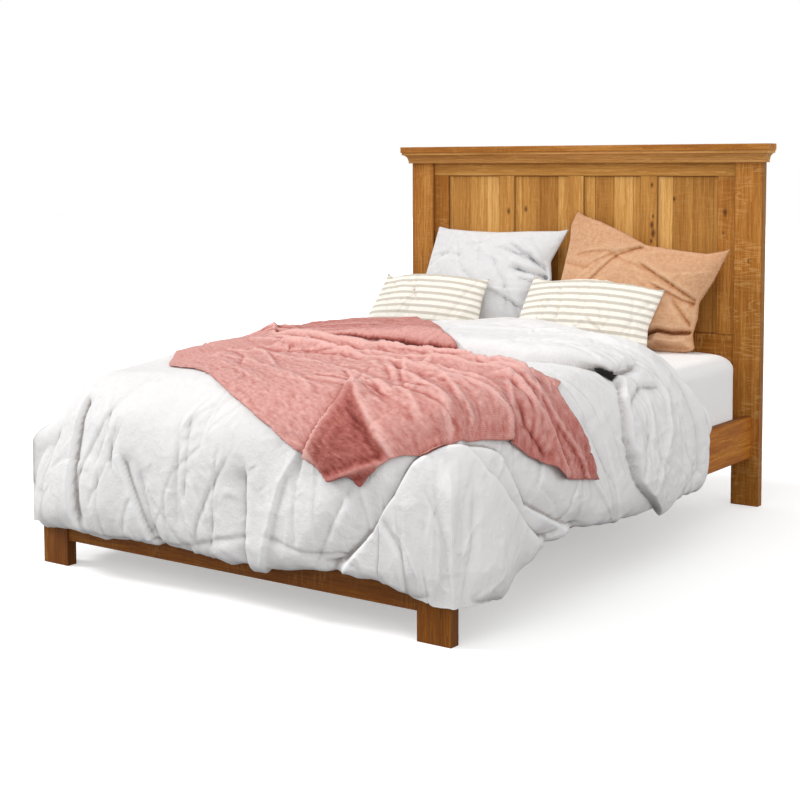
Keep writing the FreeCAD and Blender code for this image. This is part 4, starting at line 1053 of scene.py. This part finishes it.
# %% folds of the turned-back end
far_line = ((-1.33, 0.99), (-1.28, 1.03), (-1.15, 1.17), (-1.0, 1.17), (-0.84, 1.20), (-0.6, 1.36), (-0.2, 1.42),
            (0.124, 1.378), (0.448, 1.168), (0.67, 1.07), (0.736, 1.075), (0.838, 1.09), (1.018, 1.168), (1.156, 1.174),
            (1.282, 1.024), (1.33, 0.985))
flap_folds = (
    (((0.808, 0.69), (0.802, 0.80), (0.80, 0.86)), -0.045, 0.02, 0.035),
    (((0.90, 0.77), (0.87, 0.84), (0.88, 0.92)), -0.018, 0.02, 0.05),
    (((0.84, 0.98), (1.0, 1.05), (1.16, 1.04)), -0.012, 0.06, 0.025),
    (((0.95, 0.86), (1.12, 0.88), (1.25, 0.93)), -0.009, 0.06, 0.03),
    (((0.10, 1.18), (0.35, 1.02), (0.60, 0.93), (0.78, 0.92)), -0.012, 0.07, 0.03),
    (((0.45, 0.72), (0.62, 0.76), (0.74, 0.83)), -0.008, 0.05, 0.025),
    (((0.90, 0.98), (1.04, 0.94), (1.18, 0.86)), 0.008, 0.05, 0.03),
    *scattered(21, 26, (0.0, 0.62, 0.80, 1.25), 30, 30, 0.22, 0.006, 0.030),
    *scattered(22, 16, (0.82, 0.72, 1.25, 1.12), 5, 25, 0.2, 0.006, 0.026),
    *scattered(23, 20, (-1.25, 0.72, 0.0, 1.3), 150, 30, 0.22, 0.006, 0.030),
)
print("folds of the turned-back end:", len(flap_folds))


# %% height of the turned-back end
def band_height(p, q):
    """How far the turned-back end stands over the duvet: two layers of stuffing, thinner where it hangs."""
    near, far = smooth_line(near_line, p), smooth_line(far_line, p)
    drop = np.maximum(np.abs(p) - TOP_HALF, 0)
    thick = (0.052 - 0.018 * smoothstep(0.05, 0.35, drop)) * (0.12 + 0.88 * smoothstep(-0.45, 0.25, p))
    edge_radius = 0.055 - 0.035 * smoothstep(0.70, 0.85, p)
    into, beyond = q - near, far - q
    height = thick - rolled(into, thick, edge_radius) - rolled(beyond, thick * 0.75, 0.05)
    return np.where((into > 0) & (beyond > 0), np.maximum(height, 0), 0)


def band_swell(p, q):
    """The stuffing, folds and creases of the turned-back end itself."""
    return 0.010 * noise(p / 0.22, q / 0.2, 21) + folds(p, q, flap_folds) + crinkles(p, q, 60, 0.9)


print("it stands up to", round(float(band_height(np.linspace(0, 0.6, 50), np.full(50, 0.8)).max()), 3), "high")

# %% turned-back end
BAND_HALF = 1.325         # it reaches this far down each side, in flat metres
BAND_LENGTH = 0.85        # about its length, to space its rows, which are closer at its two edges
UNDER = 0.55              # share of the duvet's own swell that is felt through the band
band_columns = np.linspace(-BAND_HALF, BAND_HALF, round(2 * BAND_HALF / pitch))
band_rows = 0.5 - 0.5 * np.cos(np.linspace(0, math.pi, round(BAND_LENGTH / pitch)))
band_p, share = np.meshgrid(band_columns, band_rows)
near, far = smooth_line(near_line, band_p), smooth_line(far_line, band_p)
band_q = near + share * np.maximum(far - near, 0.012)
inward = np.clip(np.minimum(band_q - near, far - band_q) / 0.03, 0, 1)
lift = band_height(band_p, band_q) + inward * band_swell(band_p, band_q)
felt_under = UNDER * duvet_swell(band_p, band_q)
tucked = 0.004 * (1 - inward)      # its edges press a little into the duvet
band_points = lay(band_p, band_q) + normal_of(lay, band_p, band_q) * (felt_under + lift - tucked)[..., None]
band = cloth_object("duvet_turned_back", band_points, grid_faces(*band_p.shape),
                    np.stack([band_p, band_q + 3.0, 0 * band_p], -1), duvet_linen,
                    hollows(lift + felt_under, 0.008) + 0.8 * beside_flap(band_p, band_q))
print("turned-back end up to z", round(float(band_points[..., 2].max()), 3))

# %% [markdown]
# ## Throw
#
# A loosely woven linen throw, 1.3 m by 1.7 m, thrown over the bed at a slant. It could be dropped on the duvet by
# simulation, but it would never land as in the picture. So its four edges are drawn in the duvet's flat coordinates
# and the cloth between them is blended from the edges (a Coons patch), then lifted off the duvet by its own folds.
# The blend is no true drape: the near edge and the end come out near 1.7 m and 1.3 m, but the far edge is drawn
# longer than the cloth is and the left one shorter, so that only the throw's area is right.

# %% edges of the throw
throw_near = ((-1.02, 0.50), (-0.80, 0.42), (-0.64, 0.235), (-0.55, 0.12), (-0.48, 0.050), (-0.38, 0.017),
              (-0.248, -0.034), (-0.038, -0.140), (0.124, -0.206), (0.28, -0.270), (0.352, -0.308), (0.382, -0.338))
throw_end = ((0.382, -0.338), (0.43, -0.385), (0.466, -0.424), (0.50, -0.408), (0.540, -0.388), (0.568, -0.424),
             (0.594, -0.384), (0.628, -0.350), (0.706, -0.296), (0.778, -0.262), (0.814, -0.200), (0.832, -0.140),
             (0.868, -0.074), (0.905, 0.016), (0.915, 0.060), (0.97, 0.130), (1.030, 0.235), (1.075, 0.262),
             (1.105, 0.36), (1.128, 0.480))
throw_far = ((-1.00, 1.38), (-0.75, 1.43), (-0.56, 1.44), (-0.470, 1.410), (-0.332, 1.270), (-0.17, 1.085),
             (-0.008, 0.895), (0.12, 0.75), (0.238, 0.610), (0.43, 0.540), (0.532, 0.505), (0.67, 0.452),
             (0.745, 0.446), (0.778, 0.480), (0.795, 0.425), (0.856, 0.412), (0.91, 0.420), (1.024, 0.462),
             (1.128, 0.480))
throw_left = ((-1.02, 0.50), (-1.04, 0.75), (-1.03, 1.05), (-1.00, 1.38))
print("near edge, end, far and left edge are drawn",
      [round(sum(math.dist(a, b) for a, b in zip(edge, edge[1:])), 2)
       for edge in (throw_near, throw_end, throw_far, throw_left)], "m long")


# %% a patch between four edges
def along(points, shares):
    """Points at shares of a line's length, its corners slightly rounded."""
    points = np.array(points, float)
    length = np.concatenate([[0], np.cumsum(np.linalg.norm(np.diff(points, axis=0), axis=1))])
    length /= length[-1]
    soft = np.stack([np.interp(shares, length, points[:, n]) for n in (0, 1)], -1)
    for _ in range(3):
        soft[1:-1] = (soft[:-2] + 2 * soft[1:-1] + soft[2:]) / 4
    return soft


def coons(near, far, left, right, rows, columns):
    """Grid of flat points blended from four edge lines; near and far run left to right, left and right upward."""
    a, b = np.linspace(0, 1, columns), np.linspace(0, 1, rows)
    near, far, left, right = along(near, a), along(far, a), along(left, b), along(right, b)
    a, b = a[None, :, None], b[:, None, None]
    return ((1 - b) * near[None] + b * far[None] + (1 - a) * left[:, None] + a * right[:, None]
            - (1 - a) * (1 - b) * near[0] - a * (1 - b) * near[-1] - (1 - a) * b * far[0] - a * b * far[-1])


throw_pitch = 0.0055
THROW_ROWS, THROW_COLUMNS = round(1.2 / throw_pitch), round(1.85 / throw_pitch)
throw_grid = coons(throw_near, throw_far, throw_left, throw_end, THROW_ROWS, THROW_COLUMNS)
throw_p, throw_q = throw_grid[..., 0], throw_grid[..., 1]
print("throw grid", throw_p.shape)

# %% [markdown]
# The folds of the throw, in the duvet's flat metres: a gathered ridge where it is bunched up, long ridges down the
# bed that turn into pleats where it hangs, and the small tent of folded cloth over the foot edge.

# %% folds of the throw
throw_folds = (
    # the gathered ridge along its upper side, steep and dark behind, where the cloth is bunched up
    (((-0.62, 0.74), (-0.536, 0.646), (-0.350, 0.604), (-0.146, 0.514), (0.028, 0.490), (0.238, 0.454), (0.388, 0.440),
      (0.55, 0.41), (0.70, 0.37)), 0.034, 0.014, 0.075),
    (((-0.56, 0.70), (-0.36, 0.638), (-0.15, 0.545), (0.03, 0.518), (0.24, 0.484), (0.40, 0.47)), -0.022, 0.035, 0.018),
    (((-0.50, 0.585), (-0.30, 0.53), (-0.10, 0.445), (0.10, 0.40), (0.33, 0.375), (0.50, 0.34)), 0.013, 0.014, 0.05),
    (((-0.52, 0.52), (-0.35, 0.505), (-0.15, 0.42), (0.05, 0.33), (0.30, 0.29), (0.52, 0.235), (0.64, 0.19)),
     0.012, 0.014, 0.05),
    # a long ridge across the bed that turns into the first pleat of the hanging side
    (((-0.32, 0.47), (-0.122, 0.424), (0.208, 0.250), (0.472, 0.150), (0.66, 0.105), (0.76, 0.100), (0.826, 0.088),
      (0.88, 0.064), (0.93, 0.040)), 0.026, 0.014, 0.12),
    (((0.40, 0.33), (0.60, 0.300), (0.736, 0.268), (0.808, 0.240), (0.856, 0.234), (0.904, 0.236), (0.958, 0.246),
      (1.05, 0.270)), 0.030, 0.013, 0.11),
    (((0.60, 0.355), (0.75, 0.335), (0.886, 0.312), (0.94, 0.328), (0.994, 0.364), (1.114, 0.406)), 0.011, 0.05, 0.014),
    (((0.84, 0.165), (0.88, 0.150), (0.96, 0.185)), -0.012, 0.03, 0.03),
    (((0.90, 0.275), (0.99, 0.290), (1.07, 0.300)), -0.012, 0.03, 0.02),
    (((-0.30, 0.30), (0.05, 0.17), (0.30, 0.03), (0.52, -0.08)), 0.010, 0.03, 0.08),
    (((-0.42, 0.22), (-0.20, 0.13), (0.10, -0.02), (0.26, -0.12)), 0.007, 0.03, 0.06),
    (((0.30, 0.16), (0.50, 0.06), (0.70, -0.06), (0.80, -0.14)), 0.010, 0.03, 0.07),
    # the tent over the foot edge: a sharp left side, a broad face that leans away from it, a second softer ridge
    (((0.400, -0.090), (0.418, -0.150), (0.424, -0.188), (0.418, -0.236), (0.400, -0.290), (0.380, -0.350)),
     0.026, 0.15, 0.010),
    (((0.410, -0.100), (0.466, -0.152), (0.526, -0.200), (0.610, -0.266), (0.670, -0.318)), 0.012, 0.07, 0.04),
    (((0.462, -0.42), (0.53, -0.385), (0.62, -0.345)), 0.010, 0.025, 0.025),
    *scattered(31, 34, (-0.50, -0.10, 0.45, 0.50), -24, 12, 0.34, 0.006, 0.020),
    *scattered(32, 24, (0.35, -0.25, 0.85, 0.40), -34, 14, 0.30, 0.006, 0.018),
    *scattered(33, 22, (-0.95, 0.60, -0.10, 1.25), -26, 30, 0.26, 0.008, 0.024),
)
print("throw folds:", len(throw_folds))

# %% height of the throw over the duvet
crumple = np.exp(-(((throw_p + 0.62) / 0.07) ** 2 + ((throw_q - 0.80) / 0.10) ** 2))
u, v = turned(throw_p, throw_q, -30)
own = 0.006 + folds(throw_p, throw_q, throw_folds)
own += 0.016 * crumple * (1 + 1.4 * noise(throw_p / 0.035, throw_q / 0.035, 31))
own += 0.006 * noise(v / 0.10, u / 0.5, 33) - 0.0045 * np.abs(noise(v / 0.026, u / 0.09, 34)) + 0.003
own -= 0.0035 * np.abs(noise(v / 0.014, u / 0.05, 36))
own += 0.0012 * noise(v / 0.009, u / 0.02, 35)
own *= 1 - 0.45 * smoothstep(-0.40, -0.55, throw_p)
hanging = smoothstep(0.12, 0.38, np.hypot(np.maximum(np.abs(throw_p) - TOP_HALF, 0), np.maximum(-throw_q, 0)))
own += hanging * 0.006
own = np.maximum(own, 0.004)
print("own height from", round(float(own.min()), 3), "to", round(float(own.max()), 3))

# %% laying the throw
under = duvet_swell(throw_p, throw_q)
climb = band_height(throw_p, throw_q)      # it climbs over the turned-back end
climb = np.maximum(climb, softened(climb, 6)) + np.where(climb > 0, 0.45 * np.maximum(-under, 0) + 0.010, 0)
throw_points = lay(throw_p, throw_q) + normal_of(lay, throw_p, throw_q) * (under + climb + own)[..., None]
THROW_LENGTH, THROW_WIDTH = 1.7, 1.3
length, width = np.meshgrid(np.linspace(0, THROW_LENGTH, throw_p.shape[1]),
                            np.linspace(0, THROW_WIDTH, throw_p.shape[0]))
throw_flat = np.stack([length, width, 0 * width], -1)
print("it climbs up to", round(float(climb.max()), 3))

# %% [markdown]
# The folded tent at the foot and the part that lies behind the gathered ridge are outlined here and counted as
# hollow: painted shade that takes them down to the deep shade. The hanging right side is darkened by painted shade too.

# %% painted shade on the throw
tent_left = np.interp(throw_q, (-0.42, -0.34, -0.236, -0.09), (0.46, 0.385, 0.418, 0.405))
tent_right = np.interp(throw_q, (-0.42, -0.318, -0.20, -0.09), (0.60, 0.66, 0.53, 0.41))
tent = smoothstep(0, 0.012, throw_p - tent_left) * smoothstep(0, 0.03, tent_right - throw_p)
tent *= smoothstep(-0.09, -0.13, throw_q)
ridge_line = np.interp(throw_p, (-0.62, -0.536, -0.350, -0.146, 0.028, 0.238, 0.388, 0.70),
                       (0.74, 0.646, 0.604, 0.514, 0.490, 0.454, 0.44, 0.37))
behind = smoothstep(0.0, 0.03, throw_q - ridge_line) * smoothstep(0.75, 0.55, throw_p)
# painted shade: the creases, the tent, the cloth behind the ridge and the hanging right side are darkened
throw_painted_shade = hollows(own + climb) + 0.75 * tent + 0.40 * behind + 0.45 * hanging * smoothstep(0.55, 0.85, throw_p)
print("share of the throw that is tent", round(float(tent.mean()), 3), "and behind the ridge",
      round(float(behind.mean()), 3))

# %% throw
throw = cloth_object("linen_throw", throw_points, grid_faces(*throw_p.shape), throw_flat, throw_linen, throw_painted_shade)
print("throw area", round(sum(p.area for p in throw.data.polygons), 2), "square metres")
thickness = throw.modifiers.new("cloth_thickness", "SOLIDIFY")
thickness.thickness = 2.2 * MM
thickness.offset = 1.0

# %% [markdown]
# ## Mattress and fitted sheet
#
# The mattress is foam and springs in a ticking cover, a block with upright rounded corners and rolled edges. The
# fitted sheet is stretched over it with elastic below, smooth on top, with small pull marks at the corners. Both are
# a grid of rings round the plan of the block, which go from the middle of the top outward and down the sides.


# %% a rounded block
def rounded_block(low, high, corner_radius, edge_radius, bottom_open, pitch=0.02):
    """Grid over a block: rings round its plan, from the middle of the top down to its lower edge or round it."""
    low, high = np.array(low), np.array(high)
    half, middle = (high - low) / 2, (high + low) / 2
    straight_x, straight_y = half[0] - corner_radius, half[1] - corner_radius
    ring = []
    for corner_x, corner_y, start in ((1, 1, 0), (-1, 1, 90), (-1, -1, 180), (1, -1, 270)):
        for turn in np.radians(np.linspace(start, start + 90, 13)):
            ring.append((corner_x * straight_x + corner_radius * math.cos(turn),
                         corner_y * straight_y + corner_radius * math.sin(turn)))
    ring = np.array(ring + ring[:1])
    length = np.concatenate([[0], np.cumsum(np.linalg.norm(np.diff(ring, axis=0), axis=1))])
    at = np.linspace(0, length[-1], round(length[-1] / pitch), endpoint=False)
    plan = np.stack([np.interp(at, length, ring[:, n]) for n in (0, 1)], -1)
    # each level is (how far the ring is drawn in, as a share of the plan, and its height)
    quarter = np.radians(np.linspace(0, 90, 7)[1:])
    rim = edge_radius / half[0]
    side_end = low[2] + (0.0 if bottom_open else edge_radius)
    levels = [(share, high[2]) for share in np.linspace(1.0, rim, 46)]
    levels += [(rim * (1 - math.sin(a)), high[2] - edge_radius * (1 - math.cos(a))) for a in quarter]
    levels += [(0.0, z) for z in np.linspace(high[2] - edge_radius, side_end, 14)[1:]]
    if not bottom_open:
        levels += [(rim * (1 - math.cos(a)), low[2] + edge_radius * (1 - math.sin(a))) for a in quarter]
        levels += [(share, low[2]) for share in np.linspace(rim, 1.0, 8)[1:]]
    points = np.array([np.column_stack([plan * (1 - share) + middle[:2], np.full(len(plan), z)])
                       for share, z in levels])
    index = np.arange(points.shape[0] * points.shape[1]).reshape(points.shape[:2])
    wrapped = np.concatenate([index, index[:, :1]], 1)
    faces = np.stack([wrapped[:-1, :-1], wrapped[1:, :-1], wrapped[1:, 1:], wrapped[:-1, 1:]], -1).reshape(-1, 4)
    return points, faces


# %% mattress
mattress_points, mattress_faces = rounded_block(*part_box("mattress"), 0.11, 0.060, False)
mattress = cloth_object("mattress_cover", mattress_points, mattress_faces, mattress_points, ticking)
print("mattress", [round(v, 3) for v in mattress.dimensions])

# %% fitted sheet
sheet_low, sheet_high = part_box("fitted_sheet")
sheet_points, sheet_faces = rounded_block(sheet_low, sheet_high, 0.12, 0.055, True)
x, y, z = (sheet_points[..., n] for n in range(3))
corner_pull = np.exp(-((np.abs(x) - 0.74) / 0.10) ** 2 - ((y - 1.03) / 0.10) ** 2)
wave = 0.0022 * noise(x / 0.09 + z / 0.5, y / 0.16, 41) + 0.002 * corner_pull * ridges((x - y) / 0.022, z / 0.25, 42)
wave += 0.004 * smoothstep(0.43, 0.33, z) * noise((x + y) / 0.045, z / 0.2, 43)
on_side = smoothstep(sheet_high[2] - 0.01, sheet_high[2] - 0.06, z)
side_x = smoothstep(0.66, 0.76, np.abs(x)) * np.sign(x)
side_y = smoothstep(0.90, 1.00, np.abs(y - 0.04)) * np.sign(y)
outward = np.stack([on_side * side_x, on_side * side_y, 1 - on_side], -1)
sheet_points = sheet_points + outward * wave[..., None]
sheet = cloth_object("fitted_sheet_cotton", sheet_points, sheet_faces, sheet_points, sheet_cotton)
print("sheet top", round(sheet_high[2], 3), "waves up to", round(float(wave.max()) / MM, 1), "mm")

# %% [markdown]
# ## Pillows
#
# A pillow is two pieces of cloth sewn round and stuffed, which leaves slack corners, ears and a seam that gathers.
# Blowing up two sewn sheets by simulation gives such a pillow, but another one than the picture has. So the outline
# of each is drawn in the plane in which it leans on the headboard, two layers are raised from it in a crowned form,
# and gathers along the seam, pulls and folds are added as on the duvet.


# %% a sewn and stuffed case
SEAM_FADE = 0.035         # the gathers of the seam reach about this far into the pillow


def cushion(name, edges, thickness, stand, lean, material, creases, puckers=0.004, bow=0.0):
    """A sewn and stuffed case. edges are its bottom, top, left and right outlines in its own leaning plane, (x, up);
    stand is (y, z) of the foot of that plane; creases are folds in the same coordinates; puckers is how high the
    seam gathers and bow how far its stripes sag across it."""
    bottom, top, left, right = edges
    width, height = top[-1][0] - top[0][0], max(v for _, v in top)
    step = 0.0055
    columns, rows = round(width / step), round(height / step)
    plan = coons(bottom, top, left, right, rows, columns)
    across, up = plan[..., 0], plan[..., 1]
    u, v = np.meshgrid(np.linspace(-1, 1, columns), np.linspace(-1, 1, rows))
    body = (1 - np.abs(u) ** 2.3) * (1 - np.abs(v) ** 2.3)
    depth = 0.5 * thickness * np.clip(body, 0, 1) ** 0.62 * (1 - 0.25 * v)
    from_side, from_end = (1 - np.abs(u)) * width, (1 - np.abs(v)) * height
    rim = np.minimum(from_side, from_end) / 2
    along_rim = np.where(from_side < from_end, up, across)
    gather = puckers * noise(along_rim / 0.021, rim / 0.06, 71) * np.exp(-rim / SEAM_FADE)
    gather *= smoothstep(0, 0.012, rim)
    fine = 0.5 * puckers * noise(along_rim / 0.009, rim / 0.04, 72) * np.exp(-rim / 0.014)
    gather += fine * smoothstep(0, 0.006, rim)
    front = depth + gather + smoothstep(0, 0.03, rim) * (
        folds(across, up, creases) + 0.5 * crinkles(across, up, 80 + len(name), 0.9)
        + 0.006 * noise(across / 0.16, up / 0.13, 75))
    back = 0.8 * depth + gather
    # both layers share the points of the seam
    inner = rim > 1e-9
    ids_front = np.arange(rows * columns).reshape(rows, columns)
    ids_back = ids_front.copy()
    ids_back[inner] = rows * columns + np.arange(inner.sum())
    back_faces = np.stack([ids_back[:-1, :-1], ids_back[1:, :-1], ids_back[1:, 1:], ids_back[:-1, 1:]], -1)
    faces = np.concatenate([grid_faces(rows, columns), back_faces.reshape(-1, 4)])
    # the plane leans back on the headboard
    angle = math.radians(lean)
    up_way = np.array([0, math.sin(angle), math.cos(angle)])
    out_way = np.array([0, -math.cos(angle), math.sin(angle)])
    middle = np.array([0, *stand]) + across[..., None] * np.array([1, 0, 0]) + up[..., None] * up_way
    front_points = middle + np.maximum(front, 0)[..., None] * out_way * inner[..., None]
    back_points = (middle - np.maximum(back, 0)[..., None] * out_way)[inner]
    flat = np.stack([across, up - bow * (1 - u ** 2) * (0.4 + 0.6 * v), 0 * up], -1)
    # painted shade: the case darkens towards its seam, besides the shade painted in its creases
    hollow = hollows(front) + 0.45 * np.exp(-rim / 0.022)
    made = cloth_object(name, np.concatenate([front_points.reshape(-1, 3), back_points]), faces,
                        np.concatenate([flat.reshape(-1, 3), flat[inner]]), material,
                        np.concatenate([hollow.ravel(), hollow[inner]]))
    print(name, "stands", [round(v, 3) for v in made.dimensions])
    return made


pillows = {}

# %% [markdown]
# The grey pillow leans at the left. Its near side is slack and pulled in folds towards the lumbar pillow.

# %% grey pillow
pillows["pillow_grey"] = cushion(
    "pillow_grey",
    (((-0.70, 0.0), (-0.40, -0.005), (-0.10, 0.0)),
     ((-0.667, 0.476), (-0.62, 0.466), (-0.50, 0.459), (-0.355, 0.456), (-0.207, 0.464), (-0.06, 0.468),
      (-0.014, 0.476)),
     ((-0.70, 0.0), (-0.705, 0.20), (-0.690, 0.31), (-0.667, 0.476)),
     ((-0.10, 0.0), (-0.085, 0.21), (-0.062, 0.262), (-0.079, 0.337), (-0.047, 0.406), (-0.014, 0.476))),
    0.165, (0.935, 0.60), 15, grey_linen,
    ((((-0.228, 0.383), (-0.146, 0.333), (-0.065, 0.277)), -0.014, 0.02, 0.05),
     (((-0.348, 0.207), (-0.228, 0.159), (-0.161, 0.125)), -0.012, 0.02, 0.05),
     (((-0.662, 0.303), (-0.578, 0.351)), -0.006, 0.03, 0.02),
     (((-0.316, 0.316), (-0.252, 0.232), (-0.238, 0.148)), -0.008, 0.05, 0.02),
     (((-0.20, 0.29), (-0.12, 0.275), (-0.06, 0.262)), -0.022, 0.03, 0.04),
     (((-0.17, 0.25), (-0.11, 0.235), (-0.075, 0.215)), -0.012, 0.02, 0.03),
     *scattered(41, 16, (-0.62, 0.05, -0.10, 0.42), -35, 30, 0.16, 0.005, 0.022)))

# %% [markdown]
# The peach pillow stands beside it. One ear is drawn up high at its top left, and its lower right corner is folded.

# %% peach pillow
pillows["pillow_peach"] = cushion(
    "pillow_peach",
    (((-0.02, 0.0), (0.20, -0.004), (0.434, -0.003), (0.499, -0.006), (0.584, 0.0), (0.615, 0.015)),
     ((0.020, 0.552), (0.06, 0.532), (0.139, 0.509), (0.26, 0.462), (0.356, 0.418), (0.511, 0.400), (0.619, 0.391),
      (0.69, 0.404), (0.716, 0.414)),
     ((-0.02, 0.0), (-0.015, 0.263), (-0.006, 0.338), (0.003, 0.431), (-0.002, 0.49), (0.020, 0.552)),
     ((0.615, 0.015), (0.600, 0.072), (0.613, 0.132), (0.612, 0.198), (0.661, 0.283), (0.693, 0.362),
      (0.716, 0.414))),
    0.17, (0.935, 0.60), 14, peach_linen,
    ((((0.10, 0.20), (0.172, 0.276), (0.251, 0.366), (0.356, 0.415)), -0.009, 0.012, 0.05),
     (((0.391, 0.32), (0.496, 0.264), (0.599, 0.205)), -0.014, 0.012, 0.05),
     (((0.456, 0.242), (0.558, 0.198), (0.60, 0.19)), -0.011, 0.01, 0.035),
     (((0.41, 0.03), (0.43, 0.060), (0.468, 0.074), (0.523, 0.068), (0.60, 0.078)), -0.045, 0.020, 0.016),
     (((0.43, 0.02), (0.47, 0.040), (0.53, 0.036), (0.59, 0.040)), 0.030, 0.022, 0.030),
     (((0.54, 0.17), (0.58, 0.12), (0.60, 0.09)), -0.012, 0.03, 0.02),
     (((0.026, 0.327), (0.121, 0.31)), -0.006, 0.03, 0.02),
     *scattered(42, 14, (0.05, 0.08, 0.60, 0.40), 20, 35, 0.15, 0.005, 0.022)))

# %% [markdown]
# Two striped lumbar pillows lie against them, lower and more puckered at the seam. Their stripes sag in the middle,
# because the stuffing pulls the cloth there.

# %% left lumbar pillow
pillows["lumbar_left"] = cushion(
    "lumbar_left",
    (((-0.872, 0.0), (-0.60, -0.004), (-0.292, 0.0)),
     ((-0.817, 0.280), (-0.79, 0.262), (-0.73, 0.278), (-0.68, 0.285), (-0.55, 0.290), (-0.432, 0.282),
      (-0.33, 0.272), (-0.294, 0.277)),
     ((-0.872, 0.0), (-0.868, 0.08), (-0.843, 0.168), (-0.817, 0.280)),
     ((-0.292, 0.0), (-0.300, 0.104), (-0.307, 0.187), (-0.294, 0.277))),
    0.125, (0.775, 0.60), 24, stripe_cotton,
    ((((-0.681, 0.260), (-0.607, 0.171)), -0.007, 0.02, 0.04),
     (((-0.795, 0.271), (-0.737, 0.21)), -0.006, 0.02, 0.03),
     *scattered(43, 12, (-0.80, 0.06, -0.34, 0.24), 80, 30, 0.10, 0.005, 0.014)), puckers=0.009, bow=0.022)

# %% right lumbar pillow
pillows["lumbar_right"] = cushion(
    "lumbar_right",
    (((-0.14, 0.0), (0.15, -0.004), (0.470, 0.012)),
     ((-0.106, 0.300), (-0.07, 0.282), (-0.02, 0.278), (0.107, 0.293), (0.22, 0.296), (0.356, 0.284), (0.46, 0.262),
      (0.495, 0.264)),
     ((-0.14, 0.0), (-0.134, 0.106), (-0.114, 0.237), (-0.106, 0.300)),
     ((0.470, 0.012), (0.456, 0.10), (0.469, 0.162), (0.495, 0.264))),
    0.125, (0.815, 0.60), 24, stripe_cotton,
    ((((0.032, 0.275), (0.073, 0.192), (0.074, 0.118)), -0.007, 0.02, 0.04),
     (((0.185, 0.251), (0.187, 0.146)), -0.005, 0.02, 0.03),
     (((0.235, 0.095), (0.265, 0.075), (0.29, 0.055)), -0.010, 0.015, 0.02),
     *scattered(44, 14, (-0.08, 0.06, 0.44, 0.25), 80, 30, 0.10, 0.005, 0.014)), puckers=0.009, bow=0.022)

# %% [markdown]
# ## Last steps
#
# Every piece rides on the bed's one body, and the CAD solid that each soft piece stands for is hidden.

# %% bodies and soft pieces
for piece, node_name, slot_name in (
        (duvet, "duvet", "duvet_linen"), (band, "duvet", "duvet_linen"), (throw, "throw_blanket", "throw_linen"),
        (mattress, "mattress", "mattress_ticking"), (sheet, "fitted_sheet", "cotton_sheet"),
        (pillows["pillow_grey"], "pillow_left", "pillow_grey_linen"),
        (pillows["pillow_peach"], "pillow_right", "pillow_peach_linen"),
        (pillows["lumbar_left"], "lumbar_pillow_left", "ticking_stripe"),
        (pillows["lumbar_right"], "lumbar_pillow_right", "ticking_stripe")):
    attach(piece, "root")
    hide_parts(node_name)
print("handed over:", [piece.name for piece in (duvet, band, throw, mattress, sheet, *pillows.values())])
